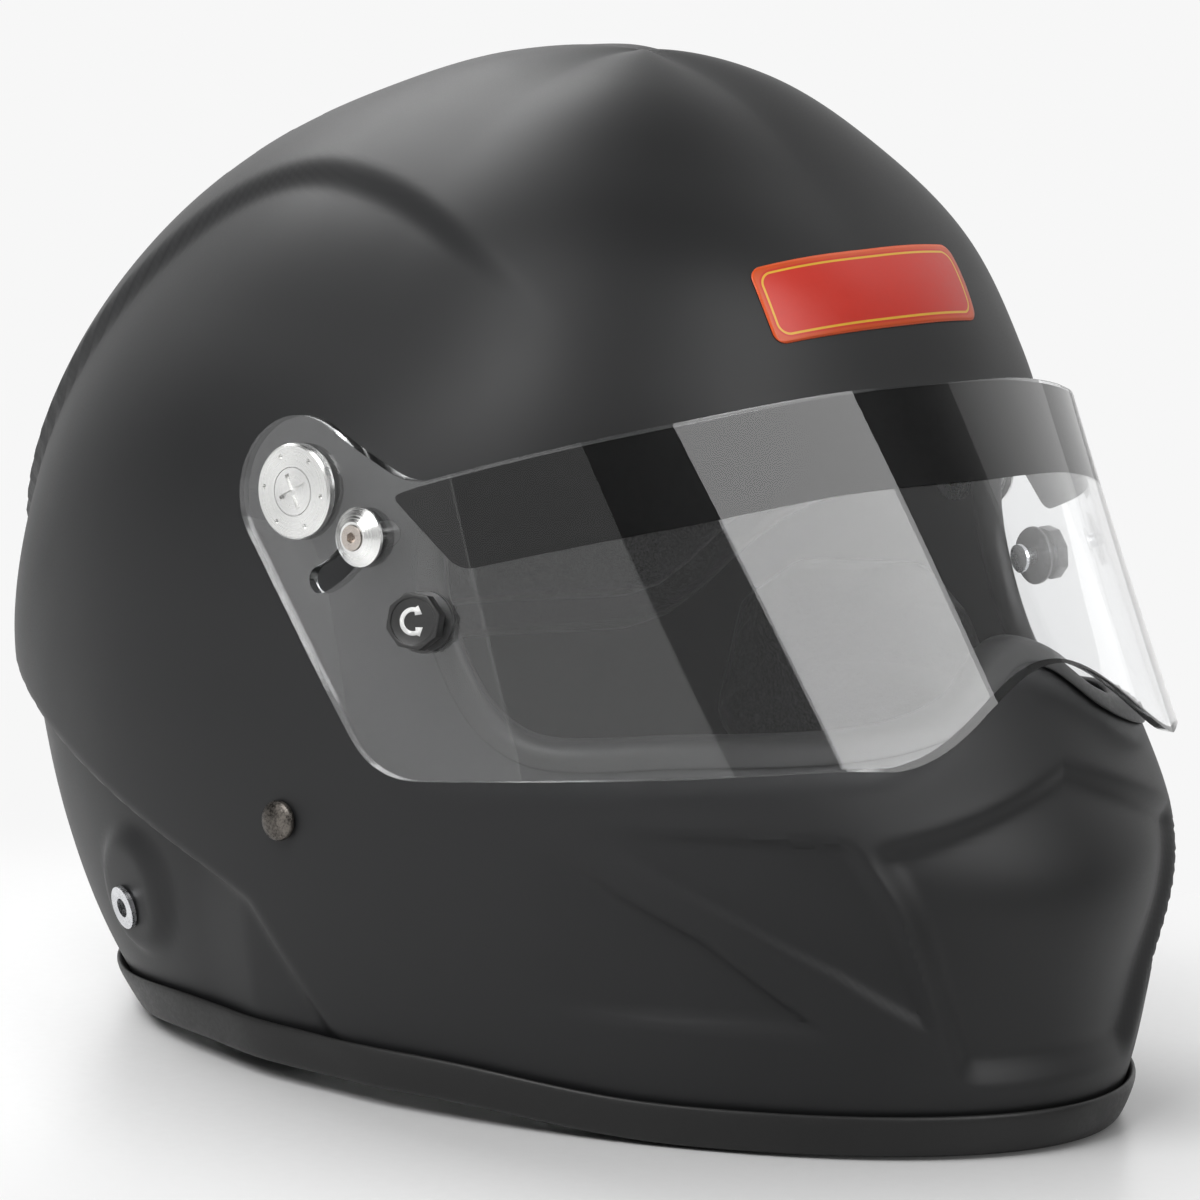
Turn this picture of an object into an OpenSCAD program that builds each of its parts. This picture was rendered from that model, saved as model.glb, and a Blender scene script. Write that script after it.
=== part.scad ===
// Full face racing helmet: composite shell, liners, pads, tilting shield and its hardware.
// Millimetres. +Z is up, the face looks along -Y, and the wearer's left is +X.
// The origin is on the floor below the middle of the shell.

/* [Shell] */
// Length of the shell, chin to back
shell_length = 334; // [324:1:345]
// Width of the shell at the temples
shell_width = 248; // [242:1:256]
// Height of the shell's middle, where its form is measured from, above the floor
shell_middle = 126; // [122:1:130]
// Crown height above the shell's middle
crown_rise = 131; // [127:1:137]
// Thickness of the laminate
shell_wall = 3; // [2.4:0.1:3.6]
// Depth of the chin panel
panel_depth = 4.5; // [2:0.5:5]
// Depth of the side facets beside the chin
facet_depth = 2.5; // [1:0.5:3]
// Depth of the step below the rear crease
crease_depth = 5; // [2:0.5:5]
// Depth of the hollow below the rear arch
arch_depth = 3; // [1:0.5:3]
// Height of the pads that carry the restraint anchors
boss_height = 3; // [1:0.5:4]

/* [Rim trim] */
// Thickness of rubber under the rim
trim_base = 4; // [3:0.5:6]
// Height of the outer lip above the floor
trim_lip = 12; // [8:0.5:14]
// Thickness of the lips
trim_wall = 2.6; // [2:0.1:3.5]
// Rise of the rim over the shoulders
rim_arch = 4; // [0:0.5:8]

/* [Eyeport] */
// Height of the gasket above the shell's face
gasket_proud = 0.8; // [0.6:0.1:1.2]
// Width of the gasket, from the shell's edge inwards
gasket_width = 4; // [3:0.5:6]

/* [Liners and pads] */
// Thickness of the impact liner at the crown
liner_thick = 26; // [20:1:30]
// Thickness of the chin liner
chin_liner_thick = 16; // [12:1:20]
// Thickness of the crown pad
crown_pad_thick = 9; // [6:1:12]
// Thickness of the cheek pads at their middle
cheek_pad_thick = 34; // [26:1:38]
// Thickness of the neck roll at its middle
neck_roll_thick = 24; // [18:1:28]

/* [Shield] */
// Thickness of the clear shield
shield_thick = 3; // [2:0.1:3.2]
// Half width of the shield's inside at pivot height
shield_half = 123.2; // [123:0.1:124.2]
// Reach of the shield's inside ahead of its straight sides, at pivot height
shield_reach = 98.6; // [98:0.2:101]
// Radius of the lobes round the pivots
lobe_radius = 18.5; // [17:0.5:19.5]
// Distance of the stop screw from the pivot
stop_radius = 22.9; // [22.5:0.1:24.5]
// Angle that the shield lifts through
lift_angle = 40; // [30:1:42]
// Radius of the pivot bushing
bushing_radius = 6.8; // [6:0.1:7.5]
// Radius of the pivot disc
pivot_disc_radius = 11.8; // [10.5:0.1:12.5]
// Thickness of the pivot disc
pivot_disc_thick = 3; // [2.5:0.1:4]
// Radius of the stop disc
stop_disc_radius = 7.3; // [6.5:0.1:8]
// Radius of the spacer that runs in the slot
stop_spacer_radius = 3.3; // [2.9:0.1:3.6]
// Thickness of the dark film along the top of the shield
film_thick = 0.4; // [0.3:0.1:0.6]

/* [Film posts] */
// Width across the flats of the post's eight sided head
post_head = 13.4; // [12:0.1:14]
// Radius of the post's neck
post_neck_radius = 5; // [4:0.1:5.6]
// Radius of the post's foot
post_foot_radius = 7.6; // [7:0.1:8.5]
// Height of the post
post_height = 9; // [8:0.5:11]

/* [Chin strap] */
// Width of the webbing
webbing_width = 25; // [20:1:26]
// Thickness of the webbing
webbing_thick = 2; // [1.6:0.1:2.4]
// Radius of the wire of the rings
ring_wire = 1.9; // [1.5:0.1:2.2]
// Radius of the rivet's head
rivet_head_radius = 5; // [4.5:0.1:6]
// Radius of the rivet's shank
rivet_shank_radius = 2.4; // [2:0.1:3]

/* [Restraint anchors] */
// Radius of the threaded hole, the bore of an M6 thread
anchor_bore_radius = 2.5; // [2.4:0.1:3]
// Radius of the insert's body
anchor_body_radius = 4.5; // [4:0.1:5]
// Radius of the insert's flange
anchor_flange_radius = 5.6; // [5.2:0.1:7]
// Length of the insert's threaded hole
anchor_length = 9; // [7:0.5:10]

/* [Hidden] */
$fn = 48;

// Columns and rows of the shell's outer face, which has twice those of its inner face
columns = 76;
rows = 38;
// How much the columns gather at the front, and the rows at the rim
column_gather = 16;
row_gather = 1.25;
// Form of the shell: elevation, distance from the middle to the front, side and back, and the
// squareness of its front seen from above
form = [
    [-60, 206, 182, 178, 1.95], [-50, 203, 165, 176, 1.95], [-40, 198, 150, 177.5, 1.95],
    [-30, 183.5, 139, 176, 1.95], [-20, 174, 131, 174.5, 1.93], [-10, 148, 125.5, 175, 1.89],
    [0, 128.5, 123.5, 170.5, 1.89], [15, 114.5, 123.3, 160.5, 1.95], [30, 109.5, 122.2, 151, 2.2],
    [45, 114.5, 125.2, 141.5, 2.21], [60, 118.2, 126.8, 134.7, 2.21], [75, 125.8, 129.6, 132.6, 2.21],
    [90, 131, 131, 131, 2.21],
];
// Squareness of its back
back_power = 2.1;
// Width, length and crown height that the form's rows are written for
form_size = [248, 334, 131];
// Height of the middle that side view places are written for
form_level = 126;
middle = [0, -6.5, shell_middle];
stretch = [shell_width / form_size[0], shell_length / form_size[1], crown_rise / form_size[2]];

// A smooth step from 0 to 1 as t goes from 0 to 1
function ease(t) = let (c = min(max(t, 0), 1)) c * c * (3 - 2 * c);

function slope(k, i) =
    i == 0 ? (form[1][k] - form[0][k]) / (form[1][0] - form[0][0])
    : i == len(form) - 1 ? 0
    : (form[i + 1][k] - form[i - 1][k]) / (form[i + 1][0] - form[i - 1][0]);

function form_row(el, i = 0) = i < len(form) - 2 && el > form[i + 1][0] ? form_row(el, i + 1) : i;

// Distance k of the form at an elevation, on a smooth curve through the rows
function reach(k, el) =
    let (
        i = form_row(el),
        h = form[i + 1][0] - form[i][0],
        s = (el - form[i][0]) / h
    )
    (2 * pow(s, 3) - 3 * s * s + 1) * form[i][k] + (pow(s, 3) - 2 * s * s + s) * h * slope(k, i)
    + (3 * s * s - 2 * pow(s, 3)) * form[i + 1][k] + (pow(s, 3) - s * s) * h * slope(k, i + 1);

function base_radius(az, el) =
    let (
        front = cos(az) > 0,
        ahead = reach(front ? 1 : 3, el),
        beside = reach(2, el),
        n = 2 + ((front ? reach(4, el) : back_power) - 2) * sqrt(max(cos(el), 0))
    )
    pow(pow(abs(cos(az)) / ahead, n) + pow(abs(sin(az)) / beside, n), -1 / n);

function heading(az, el) = [cos(el) * sin(az), -cos(el) * cos(az), sin(el)];

// Side view curves that bound the facets, as height over distance ahead of the middle
band_top = [[63, 84], [85, 74], [100, 69], [123, 56], [140, 44], [154, 30], [173, 10]];
band_foot = [[63, 84], [88, 71], [98, 64], [115, 54], [134, 36], [142, 28], [153, 16]];
// Chin panel: height of its peak, slope of its top edge, half width and height of its corner
panel_peak = 96;
panel_slope = 0.29;
panel_half = 64;
panel_corner = 78;
panel_taper = 0.5;
panel_foot = 17;
lip_height = 80;
shelf_height = 30;
// Rear crease: the height where it bends, how far back that is, and its two slopes
crease_height = 47;
crease_bend = 6;
crease_slopes = [0.31, 1.25];
// Share of its depth ahead of the bend
crease_front = 0.4;
// Rear arch: its top, how far back that is, and how fast it falls ahead and behind
arch_top = 228;
arch_back = 30;
arch_fall = [16.3, 11.5];
// Middle of the restraint anchor in side view
anchor_y = 61;
anchor_z = 36;
boss_radius = 12;

// Rise or fall of the surface at a point given by half width, distance back and height
function relief(p) =
    let (
        w = abs(p[0]), y = p[1], z = p[2],
        ahead = ease((-63 - y) / 25),
        side_line = panel_half - (panel_corner - z) * panel_taper,
        panel = ease((panel_peak - panel_slope * w - z) / 3.5) * ease((side_line - w) / 3.5)
            * ease((z - panel_foot) / 6),
        outside = ease((w - side_line - 1) / 3),
        upper = ease((z - lookup(-y, band_top)) / 4) * ease((lip_height - z) / 4)
            * outside * ease((-y - 83) / 40),
        lower = ease((lookup(-y, band_foot) - z) / 4) * ease((z - shelf_height) / 4)
            * ease((-y - 68) / 45),
        below = [for (s = crease_slopes) (crease_height + s * (y - crease_bend) - z) / sqrt(1 + s * s)],
        crease = ease((min(below) + 1) / 5) * max(ease((y + 8) / 40), crease_front * ease((y + 34) / 20)),
        boss = w < 40 ? 0 : 1 - ease((norm([y - anchor_y, z - anchor_z]) - boss_radius) / 7),
        under = arch_top - pow((y - arch_back) / arch_fall[y > arch_back ? 1 : 0], 2) - z,
        arch = ease(under / 6) * (1 - ease((under - 6) / 70)) * ease((y + 63) / 60) * ease((w - 20) / 20)
    )
    boss_height * boss - ahead * (panel_depth * panel + facet_depth * (upper + lower))
    - crease_depth * crease - arch_depth * arch;

// The middle of the form in the frame that the relief's lines are written in
form_middle = [0, middle[1], form_level];

function stretched(v) = [for (i = [0:2]) v[i] * stretch[i]];

// A side view place, with any third value kept, set out on the stretched shell
function set_out(p) =
    let (y = middle[1] + (p[0] - middle[1]) * stretch[1], z = level_of(p[1]))
    len(p) == 2 ? [y, z] : [y, z, p[2]];

function level_of(z) = shell_middle + (z - form_level) * stretch[2];

// Point on the shell, or a distance inside it; plain leaves the relief out
function skin(az, el, inset = 0, plain = false) =
    let (
        d = heading(az, el),
        r = base_radius(az, el),
        rise = plain ? 0 : relief(d * r + form_middle)
    )
    middle + stretched(d * r) + d * (rise - inset);

// Height of the rim above the floor's trim, which clears the shoulders
function rim_rise(y) = rim_arch * ease((y + 105) / 60) * ease((95 - y) / 60);

// Elevation at which the surface is at a height above the rim line
function rim_elevation(az, height, inset = 0, low = -58, high = 10, n = 16) =
    let (
        mid = (low + high) / 2,
        p = skin(az, mid, inset),
        over = p[2] > height + rim_rise(p[1])
    )
    n == 0 ? mid
    : rim_elevation(az, height, inset, over ? low : mid, over ? mid : high, n - 1);

// Distance from the middle plane to the shell's face at a place in side view
function face_x(y, z, low = 20, high = 160, n = 22) =
    let (
        mid = (low + high) / 2,
        q = [for (i = [0:2]) ([mid, y, z][i] - middle[i]) / stretch[i]],
        r = norm(q),
        az = atan2(q[0], -q[1]),
        el = asin(q[2] / r),
        face = norm(skin(az, el) - middle),
        inside = norm([mid, y, z] - middle) < face
    )
    n == 0 ? mid : face_x(y, z, inside ? mid : low, inside ? high : mid, n - 1);

// A closed solid of rings of points, with a point at each end
module stack(rings, first, last) {
    m = len(rings[0]);
    k = len(rings);
    points = [first, for (r = rings) each r, last];
    faces = [
        for (j = [0:m - 1]) [0, 1 + (j + 1) % m, 1 + j],
        for (i = [0:k - 2], j = [0:m - 1])
            let (a = 1 + i * m + j, b = 1 + i * m + (j + 1) % m)
                each [[a, b, b + m], [a, b + m, a + m]],
        for (j = [0:m - 1]) let (s = 1 + (k - 1) * m) [s + j, s + (j + 1) % m, 1 + k * m],
    ];
    polyhedron(points, faces, convexity = 10);
}

// A closed ring of sections, each a list of points
module loop_sweep(sections) {
    m = len(sections[0]);
    k = len(sections);
    polyhedron(
        [for (s = sections) each s],
        [
            for (i = [0:k - 1], j = [0:m - 1])
                let (
                    a = i * m + j, b = i * m + (j + 1) % m,
                    c = ((i + 1) % k) * m + (j + 1) % m, d = ((i + 1) % k) * m + j
                )
                    each [[a, b, c], [a, c, d]],
        ],
        convexity = 10
    );
}

// A row of sections, each a list of points, closed by its first and last
module strand(sections) {
    m = len(sections[0]);
    k = len(sections);
    polyhedron(
        [for (s = sections) each s],
        [
            for (i = [0:k - 2], j = [0:m - 1])
                let (a = i * m + j, b = i * m + (j + 1) % m)
                    each [[a, b, b + m], [a, b + m, a + m]],
            [for (j = [m - 1:-1:0]) j],
            [for (j = [0:m - 1]) (k - 1) * m + j],
        ],
        convexity = 10
    );
}

function blend(a, b, t) = a + (b - a) * t;

// Points of a closed outline with an arc of the given radius at each corner [x, y, radius]
function rounded(corners, steps = 6) =
    let (n = len(corners))
    [
        for (i = [0:n - 1])
            let (
                c = corners[i], p = [c[0], c[1]],
                a = [corners[(i + n - 1) % n][0], corners[(i + n - 1) % n][1]] - p,
                b = [corners[(i + 1) % n][0], corners[(i + 1) % n][1]] - p,
                u = a / norm(a), v = b / norm(b),
                half = acos(u * v) / 2,
                back = c[2] / tan(half),
                hub = p + (u + v) / norm(u + v) * c[2] / sin(half),
                from = p + u * back - hub, to = p + v * back - hub,
                turn = 180 - 2 * half, way = cross(from, to) > 0 ? 1 : -1,
                start = atan2(from[1], from[0])
            )
                each c[2] == 0 ? [p]
                    : [for (s = [0:steps]) hub + c[2] * [cos(start + way * turn * s / steps),
                        sin(start + way * turn * s / steps)]],
    ];

// Side view to model: x of the profile runs along Y and y runs along Z
module along_x(from, to) {
    translate([from, 0, 0]) rotate([90, 0, 90]) linear_extrude(height = to - from) children();
}

// A cylinder along X from x0 to x1 through the side view place [y, z]
module rod(place, radius, x0, x1) {
    translate([x0, place[0], place[1]]) rotate([0, 90, 0]) cylinder(r = radius, h = x1 - x0);
}

// Eyeport: corners of its left half, as azimuth and elevation
eyeport_corners = [
    [0, -2], [4.5, -3.1], [7.5, -4.9], [11, -7], [17.5, -9], [27, -10.5], [42, -11.8], [55, -13.5],
    [61, -12.3], [65.5, -8.6], [69.5, -1.5], [71.5, 5.5], [70.5, 11.5], [63, 15], [48, 18], [25, 23],
    [0, 25],
];
eyeport_hub = [0, 9];
eyeport_steps = 3;

// The eyeport's edge as a smooth closed line of azimuth and elevation
function eyeport_edge() =
    let (
        half = eyeport_corners,
        n = len(half),
        whole = [each half, for (i = [n - 2:-1:1]) [-half[i][0], half[i][1]]],
        m = len(whole)
    )
    [
        for (i = [0:m - 1], k = [0:eyeport_steps - 1])
            let (
                p = whole[(i + m - 1) % m], q = whole[i], r = whole[(i + 1) % m], s = whole[(i + 2) % m],
                t = k / eyeport_steps
            )
                0.5 * (2 * q + (r - p) * t + (2 * p - 5 * q + 4 * r - s) * t * t
                    + (3 * q - p - 3 * r + s) * pow(t, 3)),
    ];

// A patch of the shell's form between two insets, inside an outline of azimuth and elevation
module patch(edge, hub, outer, inner, crown = 0, shrink = 1, levels = [0.2, 0.45, 0.7, 0.88, 1]) {
    function spot(e, s, inset) =
        let (a = hub + (e - hub) * s) skin(a[0], a[1], inset, true);
    up = [for (i = [len(levels) - 1:-1:0]) levels[i]];
    stack(
        [
            for (s = levels) [for (e = edge) spot(e, s, outer)],
            for (s = up) [for (e = edge) spot(e, s * shrink, inner + crown * (1 - pow(s, 4)))],
        ],
        skin(hub[0], hub[1], outer, true),
        skin(hub[0], hub[1], inner + crown, true)
    );
}

// Pivot and stop screw in side view
pivot = set_out([-12, 152]);
stop_angle = 21.6;
stop_place = pivot + stop_radius * [-cos(stop_angle), -sin(stop_angle)];
post_place = set_out([-52, 125]);
rivet_place = set_out([-7, 69]);
seat_gap = 0.3;
running_gap = 0.1;

// Rear vents: elevation of each slot, its half width in azimuth and its height in degrees
vent_azimuth = 180;
vent_elevations = [50, 41.5];
vent_half = 27;
vent_opening = 2.2;

function vent_edge(el, grow = 0) = [
    for (s = [-1, 1], k = [0:8])
        [vent_azimuth + s * (1 - k / 4) * (vent_half + grow), el + s * (vent_opening + grow / 2)],
];

// Azimuth of a column, and elevation of a row between an edge and the crown
function column_az(j, n = columns) = let (u = -180 + j * 360 / n) u - column_gather * sin(u);

function row_el(low, t) = low + (90 - low) * pow(t, row_gather);

// Lowest relief near a place, which the inside follows so that the wall keeps its thickness
function low_relief(az, el) =
    min([
        for (a = [-2.4, 0, 2.4], e = [-1.6, 0, 1.6])
            let (u = az + a, v = min(el + e, 90)) relief(heading(u, v) * base_radius(u, v) + form_middle),
    ]);

// Point at a distance inside the shell's outer form, on a face that follows its inside
function lining(az, el, inset) =
    let (d = heading(az, el))
    middle + stretched(d * base_radius(az, el)) + d * (low_relief(az, el) - inset);

// Room between the shell's inside and what lies against it
lining_gap = 1.8;

module shell() {
    outer_low = [for (j = [0:columns - 1]) rim_elevation(column_az(j), trim_base)];
    half = columns / 2;
    inner_low = [for (j = [0:half - 1]) rim_elevation(column_az(j, half), trim_base - 8, shell_wall)];
    color([0.07, 0.07, 0.075])
        difference() {
            stack(
                [
                    for (i = [rows - 1:-1:0])
                        [for (j = [0:columns - 1]) skin(column_az(j), row_el(outer_low[j], i / rows))],
                ],
                skin(0, 90), [0, middle[1], trim_base + rim_rise(middle[1])]
            );
            stack(
                [
                    for (i = [rows / 2 - 1:-1:0])
                        [
                            for (j = [0:half - 1])
                                lining(column_az(j, half), row_el(inner_low[j], 2 * i / rows), shell_wall),
                        ],
                ],
                lining(0, 90, shell_wall), [0, middle[1], trim_base - 8]
            );
            patch(eyeport_edge(), eyeport_hub, -12, 26);
            for (el = vent_elevations) patch(vent_edge(el), [vent_azimuth, el], -8, 8, levels = [0.5, 1]);
            for (s = [0, 1]) mirror([s, 0, 0]) {
                rod(pivot, bushing_radius + running_gap, 100, 140);
                rod(stop_place, stop_spacer_radius + running_gap, 100, 140);
                rod(rivet_place, rivet_shank_radius + running_gap, 100, 140);
                at_anchor() cylinder(r = anchor_body_radius + running_gap, h = 40, center = true);
            }
        }
}

// A point moved level away from the middle
function aside(p, az, out) = p + [sin(az), -cos(az), 0] * out;

// A point of the trim's underside, flat on the floor or on the rim's arch
function underside(p, az, out) = let (q = aside(p, az, out)) [q[0], q[1], rim_rise(p[1])];

// The trim's cross-section at an azimuth: up its inner lip, round its foot and up its outer lip
function trim_section(az) =
    let (
        lip = skin(az, rim_elevation(az, trim_lip)),
        mid = skin(az, rim_elevation(az, trim_lip / 2)),
        seat = skin(az, rim_elevation(az, trim_base - seat_gap)),
        toe = skin(az, rim_elevation(az, 1.2)),
        foot = skin(az, rim_elevation(az, 0)),
        lip_in = lining(az, rim_elevation(az, trim_lip), shell_wall),
        seat_in = lining(az, rim_elevation(az, trim_base - seat_gap), shell_wall),
        edge_in = lining(az, rim_elevation(az, trim_base, shell_wall), shell_wall),
        toe_in = lining(az, rim_elevation(az, 1.2), shell_wall),
        out = trim_gap + trim_wall,
        in = -trim_gap_in - trim_wall
    )
    [
        aside(seat, az, trim_gap), aside([edge_in[0], edge_in[1], seat[2]], az, -trim_gap_in),
        aside(lip_in, az, -trim_gap_in), aside(lip_in, az, in + 0.6), aside(seat_in, az, in),
        aside([toe_in[0], toe_in[1], toe[2]], az, in), underside(foot, az, in - 1), underside(foot, az, out - 1),
        aside(toe, az, out), aside(mid, az, out), aside(lip - [0, 0, 1], az, out - 0.4),
        aside(lip, az, trim_gap),
    ];

trim_gap = 0.6;
trim_gap_in = 2.9;

module rim_trim() {
    color([0.13, 0.13, 0.14]) loop_sweep([for (j = [0:columns - 1]) trim_section(column_az(j))]);
}

gasket_gap = 0.6;
gasket_gap_in = 2.2;

// Outward direction square to the plain shell
function facing(az, el) =
    let (
        n = cross(
            skin(az + 1, el, 0, true) - skin(az - 1, el, 0, true),
            skin(az, el + 1, 0, true) - skin(az, el - 1, 0, true)
        )
    )
    n / norm(n) * sign(n * heading(az, el));

module eyeport_gasket() {
    edge = eyeport_edge();
    n = len(edge);
    spots = [for (e = edge) skin(e[0], e[1], 0, true)];
    low = shell_wall + gasket_gap_in;
    section = [
        [-gasket_width, -gasket_gap], [0.5 - gasket_width, -gasket_gap - gasket_proud],
        [2.4, -gasket_gap - gasket_proud], [3.2, shell_wall / 2], [2.4, low + 1.6],
        [-gasket_width, low + 1.4], [-gasket_width, low], [0.4, low], [0.4, -gasket_gap],
    ];
    color([0.1, 0.1, 0.105])
        loop_sweep([
            for (i = [0:n - 1])
                let (
                    along = spots[(i + 1) % n] - spots[(i + n - 1) % n],
                    up = heading(edge[i][0], edge[i][1]),
                    out = facing(edge[i][0], edge[i][1]),
                    in = cross(out, along) / norm(cross(out, along))
                )
                    [for (q = section) spots[i] + in * q[0] - up * q[1] / (up * out)],
        ]);
}

// Lower edge of the impact liner: elevation over distance in azimuth from the front
liner_edge = [
    [0, 33], [50, 31], [64, 27], [72, 20], [79, 12], [88, 6], [104, 2], [112, -6], [120, -17], [180, -20],
];
liner_columns = 38;

module dome(outer, inner, lift, outer_rows, inner_rows) {
    low = [for (j = [0:liner_columns - 1]) lookup(abs(column_az(j, liner_columns)), liner_edge) + lift];
    function ring(t, inset) = [
        for (j = [0:liner_columns - 1])
            lining(column_az(j, liner_columns), low[j] + (90 - low[j]) * t, inset),
    ];
    stack(
        [
            for (i = [outer_rows - 1:-1:0]) ring(i / outer_rows, outer),
            for (i = [0:inner_rows - 1]) ring(i / inner_rows, inner),
        ],
        lining(0, 90, outer), lining(0, 90, inner)
    );
}

// An outline with points added so that none of its sides is longer than a span
function filled(edge, span) =
    let (n = len(edge))
    [
        for (i = [0:n - 1])
            let (a = edge[i], b = edge[(i + 1) % n], k = max(ceil(norm(b - a) / span), 1))
                for (j = [0:k - 1]) blend(a, b, j / k),
    ];

// A pad on the shell's inside, within an outline of azimuth and elevation, with a crowned face
module pad(corners, hub, back, thick, span = 60) {
    edge = filled(rounded(corners, 3), span);
    levels = [0.55, 0.85, 1];
    function spot(e, s, inset, shrink = 1) =
        let (a = hub + (e - hub) * s * shrink) lining(a[0], a[1], inset);
    stack(
        [
            for (s = levels) [for (e = edge) spot(e, s, back)],
            [for (e = edge) spot(e, 1, back + thick * 0.45, 0.99)],
            for (s = [1, 0.85, 0.5]) [for (e = edge) spot(e, s, back + thick * (1 - 0.3 * pow(s, 3)), 0.92)],
        ],
        lining(hub[0], hub[1], back), lining(hub[0], hub[1], back + thick)
    );
}

liner_inset = shell_wall + lining_gap;
// Room between soft pieces
pad_gap = 1.7;
crown_gap = 4.2;
neck_gap = 0.1;

module impact_liner() {
    color([0.16, 0.16, 0.17])
        difference() {
            dome(liner_inset, liner_inset + liner_thick, 0, 12, 10);
            for (s = [0, 1]) mirror([s, 0, 0]) {
                rod(pivot, pivot_nut_radius + 1.5, 96, 140);
                rod(stop_place, stop_nut_radius + 1.5, 96, 140);
            }
        }
}

module crown_pad() {
    inset = liner_inset + liner_thick + crown_gap;
    color([0.25, 0.25, 0.26]) dome(inset, inset + crown_pad_thick, 3, 10, 7);
}

// Pads: corners as azimuth, elevation and corner radius, and the middle
cheek_corners = [
    [56, -20, 2], [60, -34, 4], [76, -37, 4], [100, -37, 4], [113, -28, 4], [110, -12, 4], [100, -5, 3],
    [82, -3, 3], [73, -8, 3], [66, -17, 2],
];
cheek_hub = [86, -21];
chin_corners = [
    [0, -9, 0], [-9, -11, 4], [-34, -18, 4], [-51, -19.5, 2], [-51, -32, 2], [0, -33, 0], [51, -32, 2],
    [51, -19.5, 2], [34, -18, 4], [9, -11, 4],
];
chin_hub = [0, -21];
neck_corners = [[144, -36, 4], [216, -36, 4], [220, -24, 4], [180, -22, 20], [140, -24, 4]];
neck_hub = [180, -29];

module chin_liner() {
    color([0.16, 0.16, 0.17]) pad(chin_corners, chin_hub, liner_inset + pad_gap, chin_liner_thick, 9);
}

// Room round the webbing where it passes behind the cheek pads
webbing_room = 1.5;

module cheek_pad_left() {
    color([0.3, 0.3, 0.31])
        difference() {
            pad(cheek_corners, cheek_hub, liner_inset + pad_gap, cheek_pad_thick);
            strap_across(webbing_width / 2 + webbing_room) webbing_channel();
            rod(rivet_place, rivet_plate_radius + 0.6, rivet_inner - 1.4, rivet_x + cut_past);
        }
}

module cheek_pad_right() {
    mirror([1, 0, 0]) cheek_pad_left();
}

module neck_roll() {
    color([0.22, 0.22, 0.23]) pad(neck_corners, neck_hub, liner_inset + neck_gap, neck_roll_thick);
}

// Chin strap. Its line is seen from the front, as distance from the middle and height
// How far a cut goes past what it cuts
cut_past = 10;
rivet_plate_radius = 7;
rivet_plate_thick = 1.2;
rivet_x = seat_in(rivet_place, rivet_plate_radius);
rivet_inner = rivet_x - 1 - webbing_thick / 2 - rivet_plate_thick - 1;
strap_line = [
    [rivet_x - 1, rivet_place[1] + 8], [rivet_x - 1, rivet_place[1] - 8], [112.5 * stretch[0], level_of(50)],
    [106 * stretch[0], level_of(39)], [94 * stretch[0], level_of(31)], [72, level_of(26)], [30, level_of(25)],
];
// Least and greatest distance of the shell's face from the middle plane near a place
function seat_out(place, radius) =
    max([for (a = [0:45:315]) face_x(place[0] + radius * cos(a), place[1] + radius * sin(a))]) + seat_gap;

function seat_in(place, radius) =
    min([for (a = [0:45:315]) face_x(place[0] + radius * cos(a), place[1] + radius * sin(a))])
    - shell_wall - lining_gap;

module strap_across(half) {
    translate([0, rivet_place[0] + half, 0]) rotate([90, 0, 0]) linear_extrude(height = 2 * half) children();
}

// Outline of a strip of the given thickness along a line of points
function strip(line, thick) =
    let (
        n = len(line),
        side = [
            for (i = [0:n - 1])
                let (
                    a = line[max(i - 1, 0)], b = line[min(i + 1, n - 1)],
                    u = (b - a) / norm(b - a)
                )
                    [u[1], -u[0]] * thick / 2,
        ]
    )
    [for (i = [0:n - 1]) line[i] + side[i], for (i = [n - 1:-1:0]) line[i] - side[i]];

// Everything outward of the webbing, with room on its inner side
module webbing_channel() {
    n = len(strap_line);
    inner = [for (i = [0:n - 1]) strap_line[i] - [webbing_thick / 2 + webbing_room, 0]];
    polygon([
        for (p = inner) p, [inner[n - 1][0], 0], [150, 0], [150, inner[0][1] + 4],
        [inner[0][0], inner[0][1] + 4],
    ]);
}

// The end of the right strap is folded round the straight bars of both rings
ring_bar_x = 27;
ring_bar_rise = 2.6;
strap_end = strap_line[len(strap_line) - 1];
fold_length = 9;
fold_height = 10.4;
ring_gap = 0.08;
rivet_hole = rivet_shank_radius + running_gap;

module chin_strap_left() {
    color([0.05, 0.05, 0.055])
        difference() {
            strap_across(webbing_width / 2) polygon(strip(strap_line, webbing_thick));
            rod(rivet_place, rivet_hole, rivet_x - cut_past, rivet_x + cut_past);
            translate([snap_x, rivet_place[0], 0]) cylinder(r = snap_post_radius + running_gap, h = 60);
        }
}

module chin_strap_right() {
    color([0.05, 0.05, 0.055])
        mirror([1, 0, 0])
            difference() {
                union() {
                    strap_across(webbing_width / 2) polygon(strip(strap_line, webbing_thick));
                    strap_across(webbing_width / 2)
                        translate([ring_bar_x - fold_length / 2, strap_end[1] - fold_height / 2])
                            square([fold_length, fold_height]);
                }
                rod(rivet_place, rivet_hole, rivet_x - cut_past, rivet_x + cut_past);
                for (s = [-1, 1])
                    translate([ring_bar_x, rivet_place[0] + 20, strap_end[1] + s * ring_bar_rise])
                        rotate([90, 0, 0]) cylinder(r = ring_wire + ring_gap, h = 40);
            }
}

ring_half = webbing_width / 2 + ring_wire + 1;

// A ring: a straight bar along Y with half a turn of wire from end to end
module d_ring(rise) {
    translate([-ring_bar_x, rivet_place[0], strap_end[1] + rise]) {
        rotate([90, 0, 0]) cylinder(r = ring_wire, h = 2 * ring_half, center = true);
        for (s = [-1, 1]) translate([0, s * ring_half, 0]) sphere(r = ring_wire);
        rotate([0, 0, -90]) rotate_extrude(angle = 180) translate([ring_half, 0]) circle(r = ring_wire);
    }
}

module d_ring_upper() {
    color([0.7, 0.7, 0.72]) d_ring(ring_bar_rise);
}

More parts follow.
